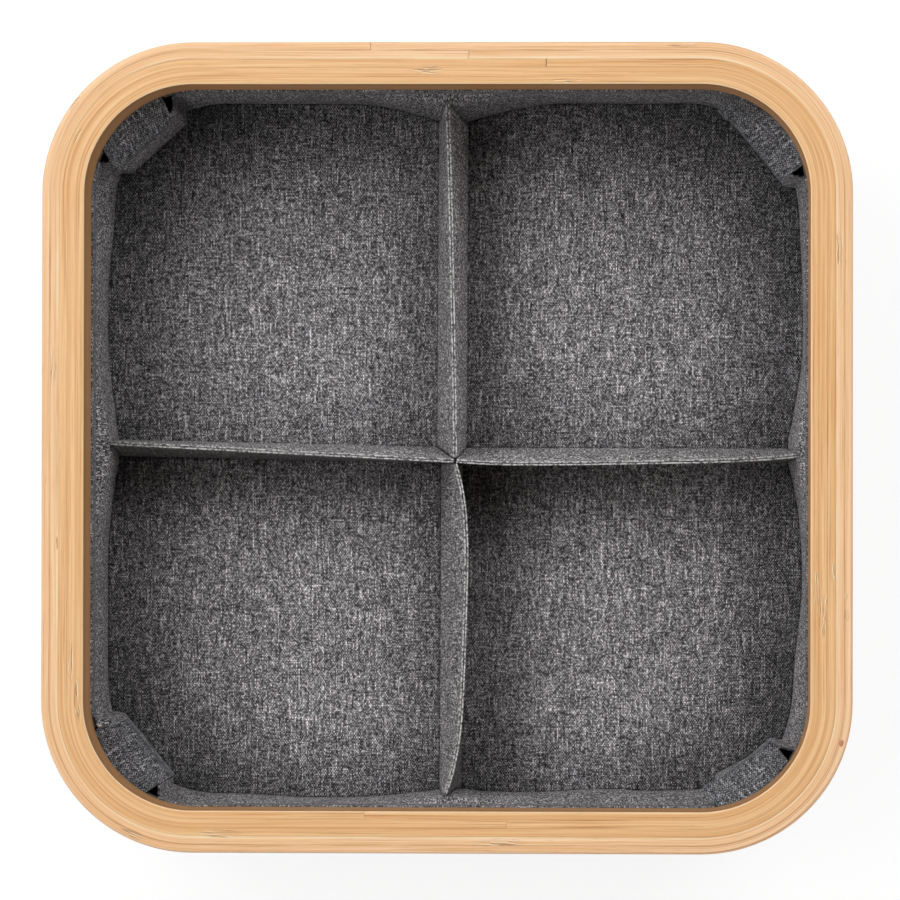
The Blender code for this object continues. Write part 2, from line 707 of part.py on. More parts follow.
def build_pocket_floor(corner, name, cloth):
    """Build the flat floor of a pocket, inside its wall and its two leaves."""
    right = 1 if name.endswith("right") else -1
    back = 1 if name.startswith("back") else -1
    x_side = SIDES.index("right" if right > 0 else "left")
    y_side = SIDES.index("back" if back > 0 else "front")
    x_leaf = leaf_face(y_side, right, 0.0, 0.0) + right * FIT
    y_leaf = leaf_face(x_side, back, 0.0, 0.0) + back * FIT
    x_wall = right * (wall_face(x_side, y_leaf, LINING_BOTTOM) - FIT)
    y_wall = back * (wall_face(y_side, x_leaf, LINING_BOTTOM) - FIT)
    ends = [Vector((x_wall, y_leaf, LINING_BOTTOM)), Vector((x_leaf, y_wall, LINING_BOTTOM))]
    if right * back < 0:
        ends.reverse()
    wall = []
    for place in pocket_stations(corner):
        offset = lining_offset(place, LINING_BOTTOM) + CLOTH_THICKNESS + FIT
        point = ring_point(place, offset, LINING_BOTTOM)
        if (point.x - x_leaf) * right > FIT and (point.y - y_leaf) * back > FIT:
            wall.append(point)
    outline = [Vector((x_leaf, y_leaf, LINING_BOTTOM)), ends[0]] + wall + [ends[1]]
    lift = Vector((0.0, 0.0, CLOTH_THICKNESS))
    sweep(f"pocket_floor_{name}", [outline, [point + lift for point in outline]], cloth)


def main():
    """Build the organizer."""
    clear_scene()
    bamboo = make_material("bamboo", (0.84, 0.58, 0.32), 0.45)
    cloth = make_material("grey_cloth", (0.085, 0.085, 0.09), 0.9)
    board = make_material("grey_board", (0.35, 0.33, 0.30), 0.8)
    black_steel = make_material("black_steel", (0.03, 0.03, 0.03), 0.4, 1.0)
    zinc = make_material("zinc_steel", (0.55, 0.56, 0.58), 0.35, 1.0)
    build_rim(bamboo)
    build_hoop(black_steel)
    build_fixings(black_steel, zinc)
    build_hems(cloth)
    build_tabs(cloth)
    build_outer_cloth(cloth)
    build_boards(board)
    build_lining(cloth)


main()
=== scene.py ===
"""Finished look of a square storage organizer: a grey cloth basket in four pockets under a bamboo rim.

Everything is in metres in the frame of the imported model, with +X to the right, +Y to the back and +Z up.
The model's hard pieces that show their own shape stay and get a finish. Each ply of the rim and each cut of
cloth is built again here with its grain or weave, its folds and its stitching.
"""

import json
import logging
import math
from collections.abc import Callable, Sequence
from dataclasses import dataclass, replace
from enum import Enum
from functools import cached_property

import bmesh
import bpy
from mathutils import Matrix, Vector, noise

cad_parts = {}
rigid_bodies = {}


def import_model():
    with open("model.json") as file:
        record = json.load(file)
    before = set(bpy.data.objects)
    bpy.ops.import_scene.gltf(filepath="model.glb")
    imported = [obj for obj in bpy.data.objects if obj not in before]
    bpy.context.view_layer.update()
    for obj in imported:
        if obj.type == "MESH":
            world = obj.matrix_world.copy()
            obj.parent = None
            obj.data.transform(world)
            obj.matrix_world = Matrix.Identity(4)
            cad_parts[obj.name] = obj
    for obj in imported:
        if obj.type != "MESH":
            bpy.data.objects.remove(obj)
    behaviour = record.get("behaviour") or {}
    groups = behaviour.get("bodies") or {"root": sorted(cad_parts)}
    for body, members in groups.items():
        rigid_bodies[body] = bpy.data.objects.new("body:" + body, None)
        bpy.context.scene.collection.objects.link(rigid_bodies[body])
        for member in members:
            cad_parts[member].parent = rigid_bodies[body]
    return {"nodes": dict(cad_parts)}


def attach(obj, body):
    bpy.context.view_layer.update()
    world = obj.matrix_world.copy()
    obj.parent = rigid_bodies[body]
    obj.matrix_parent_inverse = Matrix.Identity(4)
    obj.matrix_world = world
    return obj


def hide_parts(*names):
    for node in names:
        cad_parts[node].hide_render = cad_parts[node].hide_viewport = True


Colour = tuple[float, float, float]
Material = bpy.types.Material
Piece = bpy.types.Object
Socket = bpy.types.NodeSocket
Value = Socket | float | Colour
WHITE: Colour = (1.0, 1.0, 1.0)

log = logging.getLogger("organizer")

for item in list(bpy.data.objects):
    bpy.data.objects.remove(item, do_unlink=True)
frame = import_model()

BODY = "root"


class Side(Enum):
    """The four sides, in the order in which the distance along the hoop passes them."""

    RIGHT = 0
    BACK = 1
    LEFT = 2
    FRONT = 3

    @property
    def runs_along_x(self) -> bool:
        """Whether the divider that ends at this side runs along X."""
        return self in (Side.RIGHT, Side.LEFT)

    @property
    def outward(self) -> int:
        """1 where the side lies toward the positive end of its axis, and -1 elsewhere."""
        return 1 if self in (Side.RIGHT, Side.BACK) else -1


class Corner(Enum):
    """The four corners, each following the side of the same number."""

    BACK_RIGHT = 0
    BACK_LEFT = 1
    FRONT_LEFT = 2
    FRONT_RIGHT = 3


class Light(Enum):
    """Which painted light or shade a leaf of the dividers carries in its cloth's colour."""

    SHADED = 1
    PLAIN = 2
    LIT = 3


class Slot(Enum):
    """The record's material slots, which each piece built here names."""

    BAMBOO = "bamboo"
    OUTER_CLOTH = "outer_cloth"
    LINING_CLOTH = "lining_cloth"


def blend(start: float, end: float, share: float) -> float:
    """Return the value a share of the way from start to end."""
    return start + (end - start) * share


def ease(share: float) -> float:
    """Return a share that leaves 0 and reaches 1 level, held between the two."""
    share = min(1.0, max(0.0, share))
    return share * share * (3 - 2 * share)


def hump(value: float, middle: float, half: float) -> float:
    """Return 1 at the middle, easing to 0 at half on either side of it."""
    return 1 - ease(abs(value - middle) / half)


def line_length(points: Sequence[Vector]) -> float:
    """Return the length of a line through points."""
    return sum((end - start).length for start, end in zip(points, points[1:]))


def toned(colour: Colour, shares: Colour) -> Colour:
    """Return a colour with each of its parts times a share of its own."""
    return tuple(part * share for part, share in zip(colour, shares))


@dataclass(frozen=True)
class BasketForm:
    """Sizes of the rim and of the basket under it, and the curves that the cloth follows.

    The distance along the hoop runs anticlockwise from the middle of the right side. An offset is measured
    inward from the rim's outer face.
    """

    fit: float = 0.0003
    height: float = 0.106
    rim_width: float = 0.300
    rim_height: float = 0.028
    rim_corner: float = 0.056
    rim_wall: float = 0.0157
    cloth: float = 0.0008
    leaf: float = 0.0006
    board: float = 0.0012
    base_board: float = 0.0025
    wire: float = 0.0032
    hem_proud: float = 0.0006
    hem_depth: float = 0.010
    tab_width: float = 0.0294
    tab_width_shares: tuple[float, ...] = (1.04, 1.0, 1.03, 0.92)
    tab_turns: tuple[float, ...] = (-5.0, -3.0, -6.0, -9.0)
    tab_draw: float = 0.0094
    tab_leg: float = 0.0065
    corner_drop: float = 0.006
    clip_width: float = 0.004
    clip_thickness: float = 0.0008
    divider_depth: float = 0.050
    leaf_spread: float = 0.0042
    leaf_spreads: tuple[float, ...] = (0.0021, 0.0051, 0.0025, 0.0036)
    leaf_gap: float = -0.00002
    sway: float = 0.006
    crossing_top: tuple[float, float] = (0.28, -0.75)
    crossing_base: tuple[float, float] = (-0.20, -0.28)
    base_shares: tuple[float, ...] = (-0.02, 0.10, 0.40, -0.05)
    wall_shares: tuple[float, ...] = (-0.38, -0.23, 0.35, -0.37)
    bow_shares: tuple[float, ...] = (-0.28, 0.06, 0.0, 0.95)
    lining_draw: float = 0.006
    lining_reach: float = 0.040
    floor_shares: tuple[float, ...] = (1.0, 1.3, 0.75, 0.65)
    top_shares: tuple[float, ...] = (0.55, 0.6, 0.85, 0.5)
    bluntness: float = 0.006

    @cached_property
    def stack(self) -> float:
        """Thickness of the wall's two cloths and its board."""
        return 2 * self.cloth + self.board + 2 * self.fit

    @cached_property
    def hem_inner(self) -> float:
        """Half the clear width inside a hem."""
        return self.stack / 2 + self.fit

    @cached_property
    def hem_middle(self) -> float:
        """Distance from the wire's centre to the middle of the cloth round it."""
        return self.hem_inner + self.cloth / 2

    @cached_property
    def hoop_offset(self) -> float:
        """Offset of the wire's centre."""
        return self.rim_wall + self.hem_proud - self.hem_inner - self.cloth

    @cached_property
    def outer_offset(self) -> float:
        """Offset of the outer face of the outer wall cloth."""
        return self.hoop_offset - self.stack / 2

    @cached_property
    def lining_offset(self) -> float:
        """Offset of the outer face of the lining."""
        return self.hoop_offset + self.stack / 2 - self.cloth

    @cached_property
    def hoop_radius(self) -> float:
        """Radius of the wire's corner arcs."""
        return self.rim_corner - self.hoop_offset

    @cached_property
    def hook_reach(self) -> float:
        """Distance from the wire's centre to the outside of a clip's hook."""
        return self.wire / 2 + self.fit + self.clip_thickness

    @cached_property
    def chord_radius(self) -> float:
        """Distance from a corner's centre to the flat panel that its tab holds."""
        return self.hoop_radius - self.tab_draw

    @cached_property
    def rim_bottom(self) -> float:
        """Level of the rim's underside."""
        return self.height - self.rim_height

    @cached_property
    def hoop_level(self) -> float:
        """Level of the wire's centre."""
        return self.rim_bottom - self.fit - self.hem_inner - self.cloth

    @cached_property
    def wall_top(self) -> float:
        """Level of the wall's top edge inside a hem."""
        return self.hoop_level - self.wire / 2 - self.fit

    @cached_property
    def hem_bottom(self) -> float:
        """Level of a hem's lower edges."""
        return self.hoop_level - self.hem_depth

    @cached_property
    def corner_top(self) -> float:
        """Level of the lining's top edge under a tab."""
        return self.wall_top - self.corner_drop

    @cached_property
    def outer_corner_top(self) -> float:
        """Level of the outer cloth's top edge where no hem holds it."""
        return self.hoop_level - self.hook_reach - self.fit

    @cached_property
    def lining_bottom(self) -> float:
        """Level of the underside of the lining's floor."""
        return self.cloth + 2 * self.fit + self.base_board

    @cached_property
    def divider_top(self) -> float:
        """Level of the dividers' top edges."""
        return self.height - self.divider_depth

    @cached_property
    def straight(self) -> float:
        """Length of a side between its corner arcs."""
        return self.rim_width - 2 * self.rim_corner

    @cached_property
    def side_length(self) -> float:
        """Distance along the hoop from the middle of one side to the next."""
        return self.straight + self.hoop_radius * math.pi / 2

    @cached_property
    def half_base(self) -> float:
        """Half the width of a divider where it meets the floor."""
        return self.fit / 2 + self.leaf + self.leaf_spread

    def ring_point(self, distance: float, offset: float, level: float) -> Vector:
        """Return a point square to the rim at a distance along the hoop.

        Args:
            distance: How far along the hoop.
            offset: How far inward from the rim's outer face.
            level: The height.

        Returns:
            The point.
        """
        side, along = divmod(distance + self.straight / 2, self.side_length)
        half = self.straight / 2
        if along <= self.straight:
            point = Vector((self.rim_width / 2 - offset, along - half, level))
        else:
            angle = (along - self.straight) / self.hoop_radius
            reach = self.rim_corner - offset
            point = Vector((half + reach * math.cos(angle), half + reach * math.sin(angle), level))
        return Matrix.Rotation(side * math.pi / 2, 3, "Z") @ point

    def tab_centre(self, corner: int) -> float:
        """Return the distance along the hoop of the middle of a corner's tab."""
        turn = math.radians(self.tab_turns[corner % 4])
        return (corner + 0.5) * self.side_length + turn * self.hoop_radius

    def tab_half(self, corner: int) -> float:
        """Return half the width of a corner's tab."""
        return self.tab_width * self.tab_width_shares[corner % 4] / 2

    def chord_reach(self, corner: int) -> float:
        """Return how far along the hoop a corner's flat panel runs from its middle."""
        return self.hoop_radius * math.atan(self.tab_half(corner) / self.chord_radius)

    def clip_reach(self, corner: int) -> float:
        """Return how far along the hoop a clip stands from the middle of the tab."""
        clear = self.tab_half(corner) + self.fit + self.clip_width / 2
        return self.hoop_radius * math.asin(clear / (self.hoop_radius - self.hook_reach))

    def hem_start(self, corner: int) -> float:
        """Return how far along the hoop a hem starts from the middle of the tab.

        Args:
            corner: The number of the corner.

        Returns:
            The distance.
        """
        clear = self.clip_width / 2 + self.fit
        turn = math.asin(clear / (self.hoop_radius - self.hem_inner - self.cloth))
        return self.clip_reach(corner) + self.hoop_radius * turn

    def corner_point(
        self, corner: int, across: float, inward: float, level: float, slide: float = 0.0
    ) -> Vector:
        """Return a point near a corner tab.

        Args:
            corner: The number of the corner.
            across: How far anticlockwise from the tab's middle.
            inward: How far from the wire toward the middle of the basket, along the tab.
            level: The height.
            slide: How far the point is then moved anticlockwise.

        Returns:
            The point.
        """
        angle = (corner + 0.5) * math.pi / 2 + math.radians(self.tab_turns[corner % 4])
        half = self.straight / 2
        centre = Matrix.Rotation(corner * math.pi / 2, 3, "Z") @ Vector((half, half, level))
        out = math.sqrt(self.hoop_radius**2 - across**2) - inward
        along = Vector((math.cos(angle), math.sin(angle), 0.0))
        return centre + along * out + Vector((-along.y, along.x, 0.0)) * (across + slide)

    def nearest_tab(self, distance: float) -> tuple[int, float]:
        """Return the corner of the nearest tab, and how far past that tab's middle a place is."""
        corner = min(range(-1, 5), key=lambda index: abs(distance - self.tab_centre(index)))
        return corner, distance - self.tab_centre(corner)

    def corner_draw(self, distance: float, level: float) -> float:
        """Return how far the basket's rounder corner lies inside the rim's.

        Args:
            distance: How far along the hoop.
            level: The height.

        Returns:
            The distance inward.
        """
        along = (distance + self.straight / 2) % self.side_length
        radius = self.hoop_radius + self.bluntness
        if along > self.straight:
            angle = (along - self.straight) / self.hoop_radius
            reach = self.bluntness * (math.cos(angle) + math.sin(angle))
            root = math.sqrt(reach**2 - 2 * self.bluntness**2 + radius**2)
            draw = self.hoop_radius + reach - root
        else:
            short = max(0.0, self.bluntness - min(along, self.straight - along))
            draw = radius - math.sqrt(radius**2 - short**2)
        return draw * max(0.0, 1 - level / self.hem_bottom)

    def chord_draw(self, distance: float) -> float:
        """Return how far a tab holds the lining inside the hoop's arc.

        Args:
            distance: How far along the hoop.

        Returns:
            The distance inward.
        """
        corner, gap = self.nearest_tab(distance)
        gap = abs(gap)
        reach = self.chord_reach(corner)
        held = self.hoop_radius - self.chord_radius / math.cos(min(gap, reach) / self.hoop_radius)
        return held * (1 - ease((gap - reach) / (self.hem_start(corner) - reach)))

    def divider_draw(self, distance: float, level: float) -> float:
        """Return how far the nearest divider draws the lining in.

        Args:
            distance: How far along the hoop.
            level: The height.

        Returns:
            The distance inward.
        """
        side = round(distance / self.side_length)
        gap = max(0.0, abs(distance - side * self.side_length) - self.half_base)
        side %= 4
        if gap >= self.lining_reach or level >= self.hem_bottom:
            return 0.0
        height = (level - self.lining_bottom) / (self.divider_top - self.lining_bottom)
        share = blend(self.floor_shares[side], self.top_shares[side], min(1.0, height))
        if level > self.divider_top:
            share *= (self.hem_bottom - level) / (self.hem_bottom - self.divider_top)
        return self.lining_draw * share * (1 - gap / self.lining_reach) ** 2

    def divider_line(self, side: Side, run: float, height: float) -> float:
        """Return the sideways place of a divider, at a share of its run and of its height.

        Args:
            side: The side at which the divider ends.
            run: The share of the way from the crossing to the wall.
            height: The share of the way from the floor to the top edge.

        Returns:
            The place along the sideways axis.
        """
        across = 1 if side.runs_along_x else 0
        base = self.sway * (self.crossing_base[across] + self.base_shares[side.value] * run)
        top = self.sway * blend(self.crossing_top[across], self.wall_shares[side.value], run)
        top += self.sway * self.bow_shares[side.value] * (1 - (2 * run - 1) ** 4)
        return blend(base, top, height)

    def leaf_face(self, side: Side, hand: int, run: float, height: float) -> float:
        """Return the sideways place of a leaf's pocket face; hand is 1 or -1 along the sideways axis."""
        stand = self.fit / 2 + self.leaf_gap + self.leaf + self.leaf_spreads[side.value] * (1 - height)
        return self.divider_line(side, run, height) + hand * stand


@dataclass(frozen=True)
class EdgeDraw:
    """A place where the foot of the lining is drawn further in, as the photographed one is."""

    middle: float
    half: float
    depth: float


@dataclass(frozen=True)
class LiningForm:
    """The lining's own curves: the basket's, with the slack and the gathers of loose cloth."""

    form: BasketForm
    slack: float = 0.0010
    wave: float = 0.0008
    closed_top: float = 0.0774
    hook_clear: float = 0.0022
    closed_gap: tuple[int, bool] = (2, False)
    closed_start: float = -0.0015
    closed_run: float = 0.0006
    crease_end: tuple[int, bool] = (1, False)
    crease_start: float = 0.0008
    crease: float = 0.0018
    seam_clear: float = 0.002
    seam_run: float = 0.012

    @cached_property
    def draws(self) -> tuple[EdgeDraw, ...]:
        """The places where the lining's foot is drawn further in."""
        side = self.form.side_length
        return (
            EdgeDraw(3 * side + 0.058, 0.056, 0.0036),
            EdgeDraw(3 * side + 0.098, 0.030, 0.0022),
            EdgeDraw(4 * side - 0.092, 0.046, 0.0034),
            EdgeDraw(0.092, 0.030, 0.0012),
            EdgeDraw(2 * side - 0.090, 0.026, 0.0022),
            EdgeDraw(3 * side - 0.088, 0.034, 0.0012),
        )

    def closed_end(self, distance: float) -> float:
        """Return how much of the gap beside a tab the lining closes here, from 0 to 1.

        One end of one tab merges with the lining beside it, and the rest leave a dark gap.

        Args:
            distance: How far along the hoop.

        Returns:
            The share.
        """
        corner, gap = self.form.nearest_tab(distance)
        if (corner % 4, gap > 0) != self.closed_gap or abs(gap) > self.form.hem_start(corner):
            return 0.0
        return ease((abs(gap) - self.form.chord_reach(corner) - self.closed_start) / self.closed_run)

    def chord_draw(self, distance: float) -> float:
        """Return how far a tab holds the lining in, with the sharp crease beside one of the tabs.

        Args:
            distance: How far along the hoop.

        Returns:
            The distance inward.
        """
        draw = self.form.chord_draw(distance)
        corner, gap = self.form.nearest_tab(distance)
        if (corner % 4, gap > 0) == self.crease_end:
            draw *= 1 - ease((abs(gap) - self.form.chord_reach(corner) - self.crease_start) / self.crease)
        return draw

    def foot_draw(self, distance: float) -> float:
        """Return how far the lining's foot is drawn in beyond the basket's own form.

        Args:
            distance: How far along the hoop.

        Returns:
            The distance inward.
        """
        full = 4 * self.form.side_length
        total = 0.0
        for draw in self.draws:
            gap = (distance - draw.middle + full / 2) % full - full / 2
            total += draw.depth * hump(gap, 0.0, draw.half)
        side = self.form.side_length
        gap = abs((distance + side / 2) % side - side / 2)
        quiet = ease((gap - self.form.half_base - self.seam_clear) / self.seam_run)
        ripple = 0.5 + 0.5 * noise.noise(Vector((distance * 38.0, 3.7, 0.0)))
        return total * quiet + self.wave * ripple * quiet

    def offset(self, distance: float, level: float) -> float:
        """Return the offset of the middle of the lining's cloth at a place.

        Args:
            distance: How far along the hoop.
            level: The height.

        Returns:
            The offset from the rim's outer face.
        """
        form = self.form
        chord = self.chord_draw(distance)
        closed = self.closed_end(distance)
        if closed and level > form.corner_top:
            rise = ease((level - form.corner_top) / (self.closed_top - form.corner_top))
            chord = blend(chord, self.hook_clear, rise * closed)
        draw = max(form.corner_draw(distance, level), chord) + form.divider_draw(distance, level)
        height = min(1.0, max(0.0, (level - form.lining_bottom) / (form.hem_bottom - form.lining_bottom)))
        draw += self.foot_draw(distance) * (1 - ease(height))
        bulge = 0.5 + 0.5 * noise.noise(Vector((distance * 24.0, level * 30.0, 1.3)))
        loose = 1 - form.chord_draw(distance) / form.tab_draw
        draw += self.slack * bulge * math.sin(math.pi * height) * loose
        return form.lining_offset + form.cloth / 2 + draw

    def top(self, distance: float) -> float:
        """Return the level of the lining's top edge.

        Args:
            distance: How far along the hoop.

        Returns:
            The level.
        """
        corner, gap = self.form.nearest_tab(distance)
        if abs(gap) > self.form.hem_start(corner) + self.form.fit:
            return self.form.wall_top
        return blend(self.form.corner_top, self.closed_top, self.closed_end(distance))

    def face(self, side: Side, sideways: float, level: float) -> float:
        """Return how far from the centre a pocket's wall stands, seen along a divider.

        Args:
            side: The side at which the divider ends.
            sideways: The place along the divider's sideways axis.
            level: The height.

        Returns:
            The distance from the centre to the wall's inner face.
        """
        turn = 1 if side in (Side.RIGHT, Side.FRONT) else -1
        distance = side.value * self.form.side_length + turn * sideways
        return self.form.rim_width / 2 - self.offset(distance, level) - self.form.cloth / 2


class NodeSheet:
    """A short hand for laying out the nodes of one material or world."""

    def __init__(self, owner: Material | bpy.types.World) -> None:
        """Start with the one shader that a new material or world has."""
        self.owner = owner
        owner.use_nodes = True
        self.tree = owner.node_tree
        self.shader = next(node for node in self.tree.nodes if not node.type.startswith("OUTPUT"))

    def feed(self, socket: Socket, value: Value) -> None:
        """Link a socket to another, or set its own value.

        Args:
            socket: The socket that is fed.
            value: What it takes.
        """
        if isinstance(value, Socket):
            self.tree.links.new(value, socket)
        elif socket.type == "RGBA":
            socket.default_value = (*value, 1.0)
        else:
            socket.default_value = value

    def add(self, kind: str, *values: Value) -> bpy.types.Node:
        """Add a node and feed its first inputs.

        Args:
            kind: The kind of node, without its first word.
            values: What the inputs take, in order.

        Returns:
            The node.
        """
        node = self.tree.nodes.new("ShaderNode" + kind)
        for socket, value in zip(node.inputs, values):
            self.feed(socket, value)
        return node

    def maths(self, operation: str, *values: Value) -> Socket:
        """Add a Math node.

        Args:
            operation: The name of the operation.
            values: Up to three sockets or numbers.

        Returns:
            The result's socket.
        """
        node = self.add("Math", *values)
        node.operation = operation
        return node.outputs[0]

    def plus(self, first: Value, second: Value) -> Socket:
        """Return a sum."""
        return self.maths("ADD", first, second)

    def less(self, first: Value, second: Value) -> Socket:
        """Return a difference."""
        return self.maths("SUBTRACT", first, second)

    def times(self, first: Value, second: Value) -> Socket:
        """Return a product."""
        return self.maths("MULTIPLY", first, second)

    def uv(self, name: str) -> tuple[Socket, Socket]:
        """Return the two parts of a UV map, in metres.

        Args:
            name: The map's name.

        Returns:
            The two sockets.
        """
        node = self.add("UVMap")
        node.uv_map = name
        parts = self.add("SeparateXYZ", node.outputs[0])
        return parts.outputs[0], parts.outputs[1]

    def place(self) -> Socket:
        """Return the object's own coordinates."""
        return self.add("TexCoord").outputs["Object"]

    def flat_place(self) -> tuple[Socket, Socket]:
        """Return the object's own coordinates to the right and to the back."""
        parts = self.add("SeparateXYZ", self.place())
        return parts.outputs[0], parts.outputs[1]

    def join(self, first: Value, second: Value, third: Value = 0.0) -> Socket:
        """Return a vector made of three parts."""
        return self.add("CombineXYZ", first, second, third).outputs[0]

    def clouds(
        self, vector: Value, scale: float, detail: float = 2.0, rough: float = 0.5, bend: float = 0.0
    ) -> Socket:
        """Return the value of a Noise texture, which is about 0.5 on average.

        Args:
            vector: The place.
            scale: How many swells there are in a unit.
            detail: How many finer layers it has.
            rough: How strong the finer layers are.
            bend: How far it is distorted.

        Returns:
            The value's socket.
        """
        node = self.add("TexNoise", vector)
        node.inputs["Scale"].default_value = scale
        node.inputs["Detail"].default_value = detail
        node.inputs["Roughness"].default_value = rough
        node.inputs["Distortion"].default_value = bend
        return node.outputs[0]

    def specks(self, vector: Value) -> Socket:
        """Return a value from 0 to 1 that is unlike its neighbours' at every place."""
        return self.add("TexWhiteNoise", vector).outputs["Value"]

    def span(self, value: Value, low: float, high: float, start: float = 0.0, end: float = 1.0) -> Socket:
        """Return a value carried from the range low to high into the range start to end, and held there."""
        return self.add("MapRange", value, low, high, start, end).outputs[0]

    def mix(self, share: Value, first: Value, second: Value, way: str = "MIX") -> Socket:
        """Return a mix of two colours, which are the Mix node's seventh and eighth inputs.

        Args:
            share: How much the second colour counts.
            first: The first colour.
            second: The second colour.
            way: How the node blends them.

        Returns:
            The colour's socket.
        """
        node = self.add("Mix")
        node.data_type = "RGBA"
        node.blend_type = way
        self.feed(node.inputs[0], share)
        self.feed(node.inputs[6], first)
        self.feed(node.inputs[7], second)
        return node.outputs[2]

    def tinted(self, colour: Value, tint: Value) -> Socket:
        """Return a colour times a tint."""
        return self.mix(1.0, colour, tint, "MULTIPLY")

    def mottle(self, value: Value, tone: Colour, *stops: tuple[float, float]) -> Socket:
        """Return a tone that goes darker and paler with a value.

        Args:
            value: The place on the ramp.
            tone: The tone.
            stops: The ramp's places, each with the share of the tone there.

        Returns:
            The colour's socket.
        """
        node = self.add("ValToRGB", value)
        ramp = node.color_ramp
        while len(ramp.elements) < len(stops):
            ramp.elements.new(0.5)
        for element, (position, share) in zip(ramp.elements, stops):
            element.position = position
            element.color = (*(part * share for part in tone), 1.0)
        return node.outputs[0]

    def bump(self, height: Value, depth: float, strength: float = 1.0) -> None:
        """Give the shader a bump of a depth in metres from a height between 0 and 1.

        Args:
            height: The height.
            depth: What a height of 1 stands for.
            strength: How much the bump counts.
        """
        node = self.add("Bump")
        node.inputs["Strength"].default_value = strength
        node.inputs["Distance"].default_value = depth
        self.feed(node.inputs["Height"], height)
        self.tree.links.new(node.outputs[0], self.shader.inputs["Normal"])

    def finish(self, colour: Value, roughness: Value, **constants: float) -> Material:
        """Connect the shader and return the material.

        Args:
            colour: The base colour.
            roughness: The roughness.
            constants: Other inputs of the shader by name, with spaces as underscores.

        Returns:
            The material.
        """
        self.feed(self.shader.inputs["Base Color"], colour)
        self.feed(self.shader.inputs["Roughness"], roughness)
        for name, value in constants.items():
            self.shader.inputs[name.replace("_", " ")].default_value = value
        return self.owner


class Reach(Enum):
    """How far a place lies toward an edge of its pocket."""

    WALL = "the larger distance from the dividers"
    DIVIDER = "the smaller distance from the dividers"
    CORNER = "both distances together"
    RIGHT = "the distance to the right of the middle"
    BACK = "the distance behind the middle"
    CROSSING = "the nearness to the crossing, at its back and left"
    FRONT_DIVIDER = "the nearness to the front divider, on its right"
    TAB_END = "the nearness to the deep fold beside the back left tab"


@dataclass(frozen=True)
class EdgeShade:
    """A band of cloth that lies in shade: where it starts, where it is full, and the light that is left."""

    reach: Reach
    start: float
    full: float
    light: float


